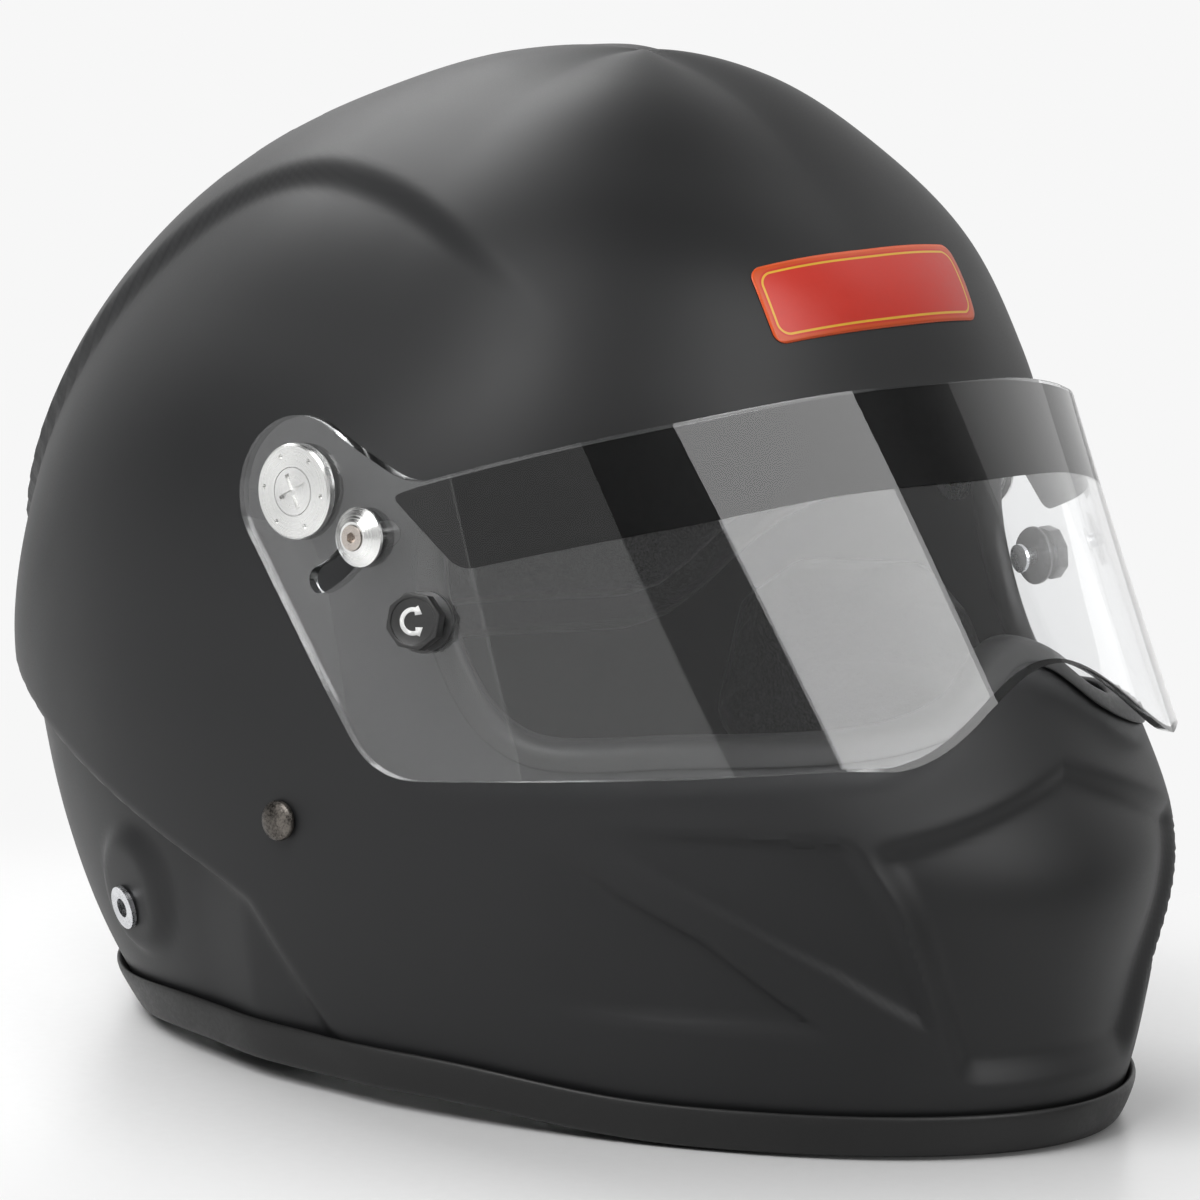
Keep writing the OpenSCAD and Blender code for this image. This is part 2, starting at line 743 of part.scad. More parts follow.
module d_ring_lower() {
    color([0.7, 0.7, 0.72]) d_ring(-ring_bar_rise);
}

snap_x = 48;
snap_post_radius = 2;
snap_radius = 6.5;

module strap_snap() {
    top = strap_end[1] + webbing_thick / 2 + webbing_slope(snap_x);
    color([0.5, 0.5, 0.52])
        translate([snap_x, rivet_place[0], 0]) {
            translate([0, 0, top + seat_gap]) cylinder(r = snap_radius, h = 1.4);
            translate([0, 0, top - webbing_thick - 3.3]) cylinder(r = snap_radius, h = 2.6);
            translate([0, 0, top - webbing_thick - 1]) cylinder(r = snap_post_radius, h = webbing_thick + 2);
        }
}

// Rise of the webbing's middle line above its end
function webbing_slope(x) = lookup(x, [[strap_end[0], 0], [72, 1]]);

module strap_rivet_left() {
    head = seat_out(rivet_place, rivet_head_radius);
    color([0.28, 0.27, 0.26]) {
        translate([head, rivet_place[0], rivet_place[1]])
            rotate([0, 90, 0])
                rotate_extrude()
                    polygon([
                        [0, 0], [rivet_head_radius, 0], [rivet_head_radius, 0.6],
                        for (a = [15:15:75]) [rivet_head_radius * cos(a), 0.6 + 1.8 * sin(a)], [0, 2.4],
                    ]);
        rod(rivet_place, rivet_shank_radius, rivet_inner, head + 0.2);
        rod(rivet_place, rivet_shank_radius + 1.6, rivet_inner - 0.8, rivet_inner);
    }
}

module strap_rivet_right() {
    mirror([1, 0, 0]) strap_rivet_left();
}

module anchor_plate_left() {
    outer = rivet_x - 1 - webbing_thick / 2 - seat_gap;
    color([0.55, 0.55, 0.56])
        difference() {
            rod(rivet_place, rivet_plate_radius, outer - rivet_plate_thick, outer);
            rod(rivet_place, rivet_hole, outer - 5, outer + 5);
        }
}

module anchor_plate_right() {
    mirror([1, 0, 0]) anchor_plate_left();
}

// Restraint anchor: an insert with a threaded hole, square to the shell
anchor_place = set_out([61, 34]);
anchor_head = 1.2;
anchor_spot = [face_x(anchor_place[0], anchor_place[1]), anchor_place[0], anchor_place[1]];
anchor_step = 6;
anchor_normal =
    let (
        y = anchor_place[0], z = anchor_place[1],
        back = face_x(y + anchor_step, z) - face_x(y - anchor_step, z),
        up = face_x(y, z + anchor_step) - face_x(y, z - anchor_step),
        v = [2 * anchor_step, -back, -up]
    )
    v / norm(v);

// Moves along the anchor's axis, with the shell's face at height 0
module at_anchor() {
    translate(anchor_spot)
        rotate([0, 0, atan2(anchor_normal[1], anchor_normal[0])])
            rotate([0, acos(anchor_normal[2]), 0])
                children();
}

module restraint_anchor_left() {
    color([0.78, 0.78, 0.8])
        at_anchor()
            difference() {
                union() {
                    translate([0, 0, anchor_seat - anchor_length])
                        cylinder(r = anchor_body_radius, h = anchor_length);
                    translate([0, 0, anchor_seat]) cylinder(r = anchor_flange_radius, h = anchor_head);
                }
                translate([0, 0, anchor_seat - anchor_length - 1])
                    cylinder(r = anchor_bore_radius, h = anchor_length + anchor_head + 2);
            }
}

anchor_seat = 0.4;

module restraint_anchor_right() {
    mirror([1, 0, 0]) restraint_anchor_left();
}

// Screens inside the rear vents
screen_gap = 0.12;
module vent_screen(el) {
    color([0.04, 0.04, 0.045])
        patch(vent_edge(el, -2 * screen_gap), [vent_azimuth, el], 0.9, 2.1, levels = [0.5, 1]);
}

module vent_mesh_upper() {
    vent_screen(vent_elevations[0]);
}

module vent_mesh_lower() {
    vent_screen(vent_elevations[1]);
}

// Shield: a sheet rolled to straight sides and a round front, leaning in and raked back.
// Its outer face at pivot height, and the change of each size for a millimetre of height.
sheet_lean = 0.08;
sheet_start = -24.5;
sheet_shift = 0.1;
sheet_rake = 0.514;
sheet_power = 1.79;
sheet_end = pivot[0] + 36;
sheet_levels = [78, 96, 114, 132, 150, 168, 192];
sheet_step = 6;

// Half width of the sheet at a height and depth, where its straight sides end, and its reach from there
function sheet_half(z, depth) =
    shield_half * stretch[0] + shield_thick - sheet_lean * (z - pivot[1]) - depth;
function sheet_turn(z) = set_out([sheet_start, z])[0] + sheet_shift * (z - pivot[1]);
function sheet_run(z, depth) =
    shield_reach * stretch[1] + (shield_thick - depth) * 1.15 - sheet_rake * (z - pivot[1]);

// Point of the sheet at an angle round it, a height and a depth below its outer face
function sheet_at(a, z, depth) =
    let (half = sheet_half(z, depth), start = sheet_turn(z), run = sheet_run(z, depth))
    [
        half * sign(cos(a)) * pow(abs(cos(a)), 2 / sheet_power),
        start - run * pow(sin(a), 2 / sheet_power), z,
    ];

// One line along the sheet, right round
function sheet_line(z, depth) =
    let (end = sheet_at(0, z, depth))
    [
        [end[0], sheet_end, z],
        for (a = [0:sheet_step:180]) sheet_at(a, z, depth),
        [-end[0], sheet_end, z],
    ];

// The sheet between two depths, before its outline is cut
module sheet(outer, inner) {
    levels = len(sheet_levels);
    lines = [
        for (i = [levels - 1:-1:0]) sheet_line(level_of(sheet_levels[i]), outer),
        for (i = [0:levels - 1]) sheet_line(level_of(sheet_levels[i]), inner),
    ];
    n = len(lines[0]);
    k = len(lines);
    polyhedron(
        [for (l = lines) each l],
        [
            for (i = [0:k - 1], j = [0:n - 2])
                let (a = i * n + j, b = a + 1, c = ((i + 1) % k) * n + j, d = c + 1)
                    each [[a, d, b], [a, c, d]],
            [for (i = [k - 1:-1:0]) i * n],
            [for (i = [0:k - 1]) i * n + n - 1],
        ],
        convexity = 10
    );
}

// Point where a line from an outside point touches a circle; side is 1 or -1
function touch(hub, radius, point, side) =
    let (v = point - hub, a = atan2(v[1], v[0]) + side * acos(radius / norm(v)))
    hub + radius * [cos(a), sin(a)];

// Outline of the shield in side view, from the lobe along the top to the front and back below
shield_top = [for (p = [[-44.5, 157.5, 12], [-91, 176.5, 60], [-108, 184.5, 20]]) set_out(p)];
shield_foot = [for (p = [[-139, 97, 30], [-115, 93.8, 40], [-46, 86, 22]]) set_out(p)];
shield_front = -220;

module shield_outline() {
    first = [shield_top[0][0], shield_top[0][1]];
    last = [shield_foot[2][0], shield_foot[2][1]];
    upper = touch(pivot, lobe_radius, first, -1);
    lower = touch(pivot, lobe_radius, last, 1);
    translate(pivot) circle(r = lobe_radius);
    polygon(rounded([
        [upper[0], upper[1], 0], for (p = shield_top) p, [shield_front, shield_top[2][1], 0],
        [shield_front, shield_foot[0][1], 0], for (p = shield_foot) p, [lower[0], lower[1], 0],
        [pivot[0], pivot[1], 0],
    ]));
}

// Rise of the bottom edge over the nose, seen from the front
nose_half = 62;
nose_rise = 23;
nose_step = 3.1;
nose_foot = shield_foot[0][1] - 0.4;

module nose_notch() {
    rotate([90, 0, 0])
        linear_extrude(height = -shield_front)
            polygon([
                [-nose_half, nose_foot - 30],
                for (x = [-nose_half:nose_step:nose_half])
                    [x, nose_foot + nose_rise * (0.5 + 0.5 * cos(180 * x / nose_half))],
                [nose_half, nose_foot - 30],
            ]);
}

// The slot that the stop's spacer runs in, an arc about the pivot
module stop_slot() {
    half = stop_spacer_radius + running_gap;
    from = 180 + stop_angle;
    to = from + lift_angle;
    far = 60;
    intersection() {
        difference() {
            rod(pivot, stop_radius + half, 100, 140);
            rod(pivot, stop_radius - half, 99, 141);
        }
        along_x(99, 141)
            polygon([
                pivot, pivot + far * [cos(from), sin(from)],
                pivot + far * [cos((from + to) / 2), sin((from + to) / 2)],
                pivot + far * [cos(to), sin(to)],
            ]);
    }
    for (a = [from, to]) rod(pivot + stop_radius * [cos(a), sin(a)], half, 99, 141);
}

module shield() {
    color([0.75, 0.8, 0.82, 0.35])
        difference() {
            intersection() {
                sheet(0, shield_thick);
                along_x(-140, 140) shield_outline();
            }
            nose_notch();
            for (s = [0, 1]) mirror([s, 0, 0]) {
                rod(pivot, bushing_radius + running_gap, 90, 150);
                stop_slot();
                at_post() cylinder(r = post_screw_radius + running_gap, h = 20, center = true);
            }
        }
}

// Dark film along the top: height of its edges over distance ahead, a little within the shield's
film_gap = 0.4;
film_margin = 0.8;
film_back = 39;
film_foot = [
    for (p = [[-film_back, 154], [-58, 138], [-98, 152], [-105, 155], [-117, 160.5], [-140, 162]])
        let (q = set_out(p)) [-q[0], q[1]],
];
film_head = [
    for (p = shield_top) [-p[0], p[1] - film_margin],
    [-shield_front, shield_top[2][1] - film_margin],
];
// Angles round the sheet at which the film starts and has its lower corner
film_start = 10;
film_corner = 19.6;

function edge_height(a, line, z = 160, n = 8) =
    n == 0 ? z : edge_height(a, line, lookup(-sheet_at(a, z, 0)[1], line), n - 1);

module shade_film() {
    half = [film_start, 2 * sheet_step, 3 * sheet_step, film_corner, for (a = [4 * sheet_step:sheet_step:90]) a];
    n = len(half);
    angles = [each half, for (i = [n - 2:-1:0]) 180 - half[i]];
    color([0.02, 0.02, 0.025])
        strand([
            for (a = angles)
                let (foot = edge_height(a, film_foot), head = edge_height(a, film_head))
                    [
                        sheet_at(a, foot, -film_gap), sheet_at(a, head, -film_gap),
                        sheet_at(a, head, -film_gap - film_thick), sheet_at(a, foot, -film_gap - film_thick),
                    ],
        ]);
}

// Distance of the sheet's outer face from the middle plane at a place
function sheet_x(place, depth = 0) =
    let (
        z = place[1],
        u = max((sheet_turn(z) - place[0]) / sheet_run(z, depth), 0)
    )
    sheet_half(z, depth) * pow(1 - pow(u, sheet_power), 1 / sheet_power);

function sheet_out(place, radius) =
    max([for (a = [0:45:315]) sheet_x(place + radius * [cos(a), sin(a)])]) + seat_gap;

// Pivot: a bushing through shell and shield, a disc over it, a screw and a nut
pivot_screw_radius = 3;
pivot_head_radius = 5.9;
pivot_head_thick = 1.6;
// Half length of the blades of the screw's cross recess, and its turn
cross_half = 4.6;
cross_turn = 15;
pivot_nut_radius = 7.5;
pivot_nut_thick = 2.6;
screw_gap = 0.06;
pivot_face = sheet_out(pivot, pivot_disc_radius);
pivot_seat = seat_in(pivot, pivot_nut_radius);

module pivot_bushing_left() {
    color([0.1, 0.1, 0.1])
        difference() {
            rod(pivot, bushing_radius, pivot_seat, pivot_face);
            rod(pivot, pivot_screw_radius + screw_gap, pivot_seat - 1, pivot_face + 1);
        }
}

module pivot_disc_left() {
    color([0.8, 0.8, 0.82])
        difference() {
            translate([pivot_face, pivot[0], pivot[1]])
                rotate([0, 90, 0]) {
                    cylinder(r = pivot_disc_radius, h = pivot_disc_thick - 0.6);
                    translate([0, 0, pivot_disc_thick - 0.6])
                        cylinder(r1 = pivot_disc_radius, r2 = pivot_disc_radius - 0.6, h = 0.6);
                }
            rod(pivot, pivot_screw_radius + screw_gap, pivot_face - 1, pivot_face + 9);
            rod(pivot, pivot_head_radius + 0.15, pivot_face + pivot_disc_thick - pivot_head_thick, pivot_face + 9);
            for (a = [0:60:300])
                rod(
                    pivot + (pivot_disc_radius - 2.6) * [cos(a), sin(a)], 0.6,
                    pivot_face + pivot_disc_thick - 0.8, pivot_face + 9
                );
        }
}

module pivot_screw_left() {
    top = pivot_face + pivot_disc_thick;
    color([0.75, 0.75, 0.77])
        difference() {
            union() {
                rod(pivot, pivot_head_radius, top - pivot_head_thick, top);
                rod(pivot, pivot_screw_radius, pivot_seat - pivot_nut_thick, top - 0.5);
            }
            translate([top - 1.1, pivot[0], pivot[1]])
                for (a = [45, 135])
                    rotate([a + cross_turn, 0, 0]) translate([0, -cross_half, -0.65]) cube([4, 2 * cross_half, 1.3]);
        }
}

module pivot_nut_left() {
    color([0.6, 0.6, 0.62])
        difference() {
            rod(pivot, pivot_nut_radius, pivot_seat - pivot_nut_thick, pivot_seat);
            rod(pivot, pivot_screw_radius + screw_gap, pivot_seat - 9, pivot_seat + 1);
        }
}

// Stop: a spacer and disc in one piece that the shield's slot runs on, a screw and a nut
stop_screw_radius = 2;
stop_head_radius = 3.1;
stop_disc_thick = 3;
stop_nut_radius = 5.5;
stop_nut_thick = 2.6;
stop_face = max([for (a = [0:10:lift_angle]) sheet_out(swung(stop_place, a), stop_disc_radius)]);
stop_seat = seat_in(stop_place, stop_nut_radius);

// A place seen from the shield after it has lifted by an angle
function swung(place, a) =
    let (v = place - pivot) pivot + [v[0] * cos(a) - v[1] * sin(a), v[0] * sin(a) + v[1] * cos(a)];

module stop_disc_left() {
    color([0.8, 0.8, 0.82])
        difference() {
            union() {
                rod(stop_place, stop_spacer_radius, stop_seat, stop_face + 0.5);
                translate([stop_face, stop_place[0], stop_place[1]])
                    rotate([0, 90, 0]) {
                        cylinder(r = stop_disc_radius, h = 0.8);
                        translate([0, 0, 0.8])
                            cylinder(r1 = stop_disc_radius, r2 = stop_head_radius + 0.8, h = stop_disc_thick - 0.8);
                    }
            }
            rod(stop_place, stop_screw_radius + screw_gap, stop_seat - 1, stop_face + 9);
            rod(stop_place, stop_head_radius + 0.15, stop_face + 0.8, stop_face + 9);
        }
}

module stop_screw_left() {
    top = stop_face + stop_disc_thick + 0.4;
    color([0.55, 0.55, 0.57])
        difference() {
            union() {
                rod(stop_place, stop_head_radius, stop_face + 0.8, top);
                rod(stop_place, stop_screw_radius, stop_seat - stop_nut_thick, stop_face + 1.5);
            }
            translate([top - 1.6, stop_place[0], stop_place[1]])
                rotate([0, 90, 0]) cylinder(r = 1.45, h = 3, $fn = 6);
        }
}

module stop_nut_left() {
    color([0.6, 0.6, 0.62])
        difference() {
            rod(stop_place, stop_nut_radius, stop_seat - stop_nut_thick, stop_seat);
            rod(stop_place, stop_screw_radius + screw_gap, stop_seat - 9, stop_seat + 1);
        }
}

// Film post: turns about its screw, which passes through the shield from inside, square to it
post_screw_radius = 2;
post_screw_head = 3.8;
post_screw_cap = 0.9;
post_spot = [sheet_x(post_place), post_place[0], post_place[1]];
post_step = 5;
post_normal =
    let (
        y = post_place[0], z = post_place[1],
        v = [
            2 * post_step, sheet_x([y - post_step, z]) - sheet_x([y + post_step, z]),
            sheet_x([y, z - post_step]) - sheet_x([y, z + post_step]),
        ]
    )
    v / norm(v);

// Moves along the post's axis, with the sheet's outer face at height 0
module at_post() {
    translate(post_spot)
        rotate([0, 0, atan2(post_normal[1], post_normal[0])])
            rotate([0, acos(post_normal[2]), 0])
                children();
}

post_seat = 0.5;
post_foot = 2;
post_neck = 3;

module film_post_left() {
    head = post_foot + post_neck;
    color([0.03, 0.03, 0.03])
        at_post()
            translate([0, 0, post_seat])
                difference() {
                    union() {
                        cylinder(r = post_foot_radius, h = post_foot);
                        translate([0, 0, post_foot - 0.5]) cylinder(r = post_neck_radius, h = post_neck + 1);
                        translate([0, 0, head]) rotate([0, 0, 22.5])
                            cylinder(r = post_head / 2 / cos(22.5), h = post_height - head, $fn = 8);
                    }
                    translate([0, 0, -1]) cylinder(r = post_screw_radius + screw_gap, h = post_height - 1);
                }
}

module post_screw_left() {
    low = -shield_thick - post_seat;
    color([0.5, 0.5, 0.52])
        at_post() {
            translate([0, 0, low]) cylinder(r = post_screw_radius, h = post_height - 3 - low);
            translate([0, 0, low - post_screw_cap]) cylinder(r = post_screw_head, h = post_screw_cap);
        }
}

module pivot_disc_right() { mirror([1, 0, 0]) pivot_disc_left(); }
module pivot_screw_right() { mirror([1, 0, 0]) pivot_screw_left(); }
module pivot_bushing_right() { mirror([1, 0, 0]) pivot_bushing_left(); }
module pivot_nut_right() { mirror([1, 0, 0]) pivot_nut_left(); }
module stop_disc_right() { mirror([1, 0, 0]) stop_disc_left(); }
module stop_screw_right() { mirror([1, 0, 0]) stop_screw_left(); }
module stop_nut_right() { mirror([1, 0, 0]) stop_nut_left(); }
module film_post_right() { mirror([1, 0, 0]) film_post_left(); }
module post_screw_right() { mirror([1, 0, 0]) post_screw_left(); }

shell();
rim_trim();
eyeport_gasket();
impact_liner();
chin_liner();
crown_pad();
cheek_pad_left();
cheek_pad_right();
neck_roll();
shield();
shade_film();
pivot_disc_left();
pivot_disc_right();
pivot_screw_left();
pivot_screw_right();
pivot_bushing_left();
pivot_bushing_right();
pivot_nut_left();
pivot_nut_right();
stop_disc_left();
stop_disc_right();
stop_screw_left();
stop_screw_right();
stop_nut_left();
stop_nut_right();
film_post_left();
film_post_right();
post_screw_left();
post_screw_right();
strap_rivet_left();
strap_rivet_right();
anchor_plate_left();
anchor_plate_right();
chin_strap_left();
chin_strap_right();
d_ring_upper();
d_ring_lower();
strap_snap();
restraint_anchor_left();
restraint_anchor_right();
vent_mesh_upper();
vent_mesh_lower();
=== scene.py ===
"""Looks of the full face racing helmet: shell, shield, linings, hardware and studio."""

import functools
import math

import bmesh
import bpy
from mathutils import Matrix, Vector


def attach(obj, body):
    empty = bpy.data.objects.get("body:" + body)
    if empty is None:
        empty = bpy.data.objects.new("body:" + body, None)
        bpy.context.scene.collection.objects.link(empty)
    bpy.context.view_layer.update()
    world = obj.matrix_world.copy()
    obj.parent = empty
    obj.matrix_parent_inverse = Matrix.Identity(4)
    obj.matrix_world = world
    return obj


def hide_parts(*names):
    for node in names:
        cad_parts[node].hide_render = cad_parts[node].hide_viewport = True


bl_info = {
    "name": "Full Face Racing Helmet",
    "version": (1, 0, 0),
    "blender": (4, 5, 0),
    "location": "3D View > Sidebar > Helmet",
    "description": "Builds the helmet's shell, shield, linings, hardware and studio",
    "category": "Add Mesh",
}

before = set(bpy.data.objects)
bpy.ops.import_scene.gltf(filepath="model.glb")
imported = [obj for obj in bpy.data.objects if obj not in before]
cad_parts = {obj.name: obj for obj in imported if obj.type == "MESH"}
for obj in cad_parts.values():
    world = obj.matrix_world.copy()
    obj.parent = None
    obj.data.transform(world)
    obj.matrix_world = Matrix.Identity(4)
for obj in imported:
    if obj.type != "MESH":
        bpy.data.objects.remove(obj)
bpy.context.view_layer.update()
MM = 0.001

# Form of the shell, in millimetres

# Elevation, distance from the middle to the front, the side and the back, squareness of the front
FORM = [
    (-60, 206, 182, 178, 1.95), (-50, 203, 165, 176, 1.95), (-40, 198, 150, 177.5, 1.95),
    (-30, 183.5, 139, 176, 1.95), (-20, 174, 131, 174.5, 1.93), (-10, 148, 125.5, 175, 1.89),
    (0, 128.5, 123.5, 170.5, 1.89), (15, 114.5, 123.3, 160.5, 1.95), (30, 109.5, 122.2, 151, 2.2),
    (45, 114.5, 125.2, 141.5, 2.21), (60, 118.2, 126.8, 134.7, 2.21), (75, 125.8, 129.6, 132.6, 2.21),
    (90, 131, 131, 131, 2.21),
]
BACK_POWER = 2.1
# Slope of the front and the back distance where they meet at the crown, for a round top
CROWN_TILT = {1: 0.227, 3: -0.227}
MIDDLE = Vector((0, -6.5, 126))
TRIM_BASE = 4
SHELL_WALL = 3
# Where the chin's relief starts ahead of the middle, and over which length it comes in
CHIN_START, CHIN_RUN = 63, 25
# Chin panel: its top line at the middle and its fall to the sides, its side line's distance at
# a height and its lean, its foot, and the widths of its slopes
PANEL_DEPTH = 4.5
PANEL_TOP, PANEL_TOP_FALL = 97.5, 0.29
PANEL_SIDE, PANEL_SIDE_HEIGHT, PANEL_SIDE_LEAN = 64, 78, 0.5
PANEL_OVERLAP, PANEL_SOFT = 2, 9
PANEL_FOOT, PANEL_FOOT_SOFT = 17, 6
# Facets beside the panel, above and below the raised band between them
FACET_DEPTH, FACET_SOFT = 2.5, 4
UPPER_TOP, UPPER_GAP, UPPER_GAP_SOFT = 80, 1, 3
UPPER_START, UPPER_RUN = 83, 40
LOWER_FOOT, LOWER_START, LOWER_RUN = 30, 68, 45
# Rear crease: the bend of its line in side view, its two slopes, and where it comes in
CREASE_DEPTH, CREASE_LEAD, CREASE_SOFT = 5, 1, 5
CREASE_BEND, CREASE_SLOPES = (6, 47), (0.31, 1.25)
CREASE_START, CREASE_RUN = -8, 40
CREASE_FRONT, CREASE_FRONT_START, CREASE_FRONT_RUN = 0.4, -34, 20
# Bosses round the restraint anchors
BOSS_HEIGHT, BOSS_RADIUS, BOSS_SOFT = 3, 12, 7
BOSS_HUB, BOSS_SIDE = (61, 36), 40
# Rear arch: top of its line in side view, how it falls ahead and behind, and its slopes
ARCH_DEPTH, ARCH_TOP, ARCH_BACK = 3, 228, 30
ARCH_FALL_AHEAD, ARCH_FALL_BEHIND = 16.3, 11.5
ARCH_STEP, ARCH_FADE = 6, 70
ARCH_START, ARCH_RUN = -63, 60
ARCH_SIDE, ARCH_SIDE_RUN = 20, 20
# Height and depth of the raised band's edges
BAND_TOP = [(63, 84), (85, 74), (100, 69), (123, 56), (140, 44), (154, 30), (173, 10)]
BAND_FOOT = [(63, 84), (88, 71), (98, 64), (115, 54), (134, 36), (142, 28), (153, 16)]
EYEPORT_CORNERS = [
    (0, -2), (4.5, -3.1), (7.5, -4.9), (11, -7), (17.5, -9), (27, -10.5), (42, -11.8), (55, -13.5),
    (61, -12.3), (65.5, -8.6), (69.5, -1.5), (71.5, 5.5), (70.5, 11.5), (63, 15), (48, 18), (25, 23),
    (0, 25),
]
EYEPORT_HUB = (0, 9)
# Rise of the rim line along the sides, and where it comes in from the front and the back
RIM_RISE, RIM_FRONT, RIM_BACK, RIM_RUN = 4, -105, 95, 60
RIM_SEARCH, RIM_SEARCH_STEPS = (-58.0, 10.0), 18
# How much the mesh's columns gather at the chin and its rows at the rim
COLUMN_GATHER, ROW_GATHER = 24, 1.35
INNER_COARSENESS = 4
NEAR_POLE = 0.99999
# Elevations of the vent windows, their half width in azimuth and half height in elevation
VENTS, VENT_HALF, VENT_OPENING = (50, 41.5), 27, 2.2
# How far cutters start outside the shell and end inside it, and their rings' shares
EYEPORT_CUT, VENT_CUT = (12, -26), (8, -8)
CUTTER_SHARES = (1.0, 0.75, 0.5, 0.25)
# Places of the side's hardware as depth and height, and radii of its holes
PIVOT = Vector((-12, 152))
STOP_RADIUS = 22.9
STOP_ANGLE = 21.6
LIFT_ANGLE = 40
POST = (-52, 125)
RIVET = (-7, 69)
PIVOT_HOLE, STOP_HOLE, RIVET_HOLE = 6.9, 3.4, 2.5
DRILL_START, DRILL_DEPTH = 100, 40


def clamp(x, low, high):
    """The value, kept between two limits"""
    return min(max(x, low), high)


def ease(t):
    """0 up to 0, 1 from 1 on, and a smooth rise between"""
    c = clamp(t, 0.0, 1.0)
    return c * c * (3 - 2 * c)


def ramp(x, start, run):
    """0 up to start, 1 a run further on, and a smooth rise between"""
    return ease((x - start) / run)


def lookup(x, table):
    """Value at x on straight lines through a table of pairs"""
    if x <= table[0][0]:
        return table[0][1]
    for (x0, y0), (x1, y1) in zip(table, table[1:]):
        if x <= x1:
            return y0 + (y1 - y0) * (x - x0) / (x1 - x0)
    return table[-1][1]


def slope(k, i):
    """Slope of distance k with elevation at a row of the form"""
    if i == len(FORM) - 1:
        return CROWN_TILT.get(k, 0)
    a, b = FORM[max(i - 1, 0)], FORM[i + 1]
    return (b[k] - a[k]) / (b[0] - a[0])


def reach(k, el):
    """Distance k of the form at an elevation, on a smooth curve through its rows"""
    i = next((i for i in range(len(FORM) - 1) if el <= FORM[i + 1][0]), len(FORM) - 2)
    a, b = FORM[i], FORM[i + 1]
    h = b[0] - a[0]
    s = (el - a[0]) / h
    return (
        (2 * s**3 - 3 * s * s + 1) * a[k] + (s**3 - 2 * s * s + s) * h * slope(k, i)
        + (3 * s * s - 2 * s**3) * b[k] + (s**3 - s * s) * h * slope(k, i + 1)
    )


def heading(az, el):
    """Direction at an azimuth, from ahead to the left side, and an elevation, in degrees"""
    a, e = math.radians(az), math.radians(el)
    return Vector((math.cos(e) * math.sin(a), -math.cos(e) * math.cos(a), math.sin(e)))


def base_radius(az, el):
    """Distance of the plain form from the middle: a superellipse at each elevation"""
    c, s = math.cos(math.radians(az)), math.sin(math.radians(az))
    front = c > 0
    power = reach(4, el) if front else BACK_POWER
    n = 2 + (power - 2) * math.sqrt(max(math.cos(math.radians(el)), 0))
    return ((abs(c) / reach(1 if front else 3, el)) ** n + (abs(s) / reach(2, el)) ** n) ** (-1 / n)


def relief(p):
    """Rise or fall of the surface: chin panel, facets, rear crease, rear arch and anchor bosses"""
    w, y, z = abs(p.x), p.y, p.z
    ahead = -y
    side_line = PANEL_SIDE - (PANEL_SIDE_HEIGHT - z) * PANEL_SIDE_LEAN
    panel = (
        ramp(PANEL_TOP - PANEL_TOP_FALL * w, z, PANEL_SOFT)
        * ramp(side_line + PANEL_OVERLAP, w, PANEL_SOFT) * ramp(z, PANEL_FOOT, PANEL_FOOT_SOFT)
    )
    upper = (
        ramp(z, lookup(ahead, BAND_TOP), FACET_SOFT) * ramp(UPPER_TOP, z, FACET_SOFT)
        * ramp(w, side_line + UPPER_GAP, UPPER_GAP_SOFT) * ramp(ahead, UPPER_START, UPPER_RUN)
    )
    lower = (
        ramp(lookup(ahead, BAND_FOOT), z, FACET_SOFT) * ramp(z, LOWER_FOOT, FACET_SOFT)
        * ramp(ahead, LOWER_START, LOWER_RUN)
    )
    bend_y, bend_z = CREASE_BEND
    below = min((bend_z + s * (y - bend_y) - z) / math.hypot(1, s) for s in CREASE_SLOPES)
    crease = ramp(below, -CREASE_LEAD, CREASE_SOFT) * max(
        ramp(y, CREASE_START, CREASE_RUN),
        CREASE_FRONT * ramp(y, CREASE_FRONT_START, CREASE_FRONT_RUN),
    )
    from_hub = math.hypot(y - BOSS_HUB[0], z - BOSS_HUB[1])
    boss = 0 if w < BOSS_SIDE else 1 - ramp(from_hub, BOSS_RADIUS, BOSS_SOFT)
    fall = ARCH_FALL_BEHIND if y > ARCH_BACK else ARCH_FALL_AHEAD
    under = ARCH_TOP - ((y - ARCH_BACK) / fall) ** 2 - z
    arch = (
        ramp(under, 0, ARCH_STEP) * (1 - ramp(under, ARCH_STEP, ARCH_FADE))
        * ramp(y, ARCH_START, ARCH_RUN) * ramp(w, ARCH_SIDE, ARCH_SIDE_RUN)
    )
    chin = ramp(ahead, CHIN_START, CHIN_RUN) * (PANEL_DEPTH * panel + FACET_DEPTH * (upper + lower))
    return BOSS_HEIGHT * boss - chin - CREASE_DEPTH * crease - ARCH_DEPTH * arch


def skin(az, el, out=0.0, plain=False):
    """Point on the shell's face, or above it by out"""
    d = heading(az, el)
    r = base_radius(az, el)
    rise = 0 if plain else relief(MIDDLE + d * r)
    return MIDDLE + d * (r + rise + out)


def rim_elevation(az, height):
    """Elevation at which the face is at a height above the arched rim line"""
    low, high = RIM_SEARCH
    for _ in range(RIM_SEARCH_STEPS):
        mid = (low + high) / 2
        p = skin(az, mid)
        rise = RIM_RISE * ramp(p.y, RIM_FRONT, RIM_RUN) * ramp(RIM_BACK, p.y, RIM_RUN)
        if p.z > height + rise:
            high = mid
        else:
            low = mid
    return (low + high) / 2


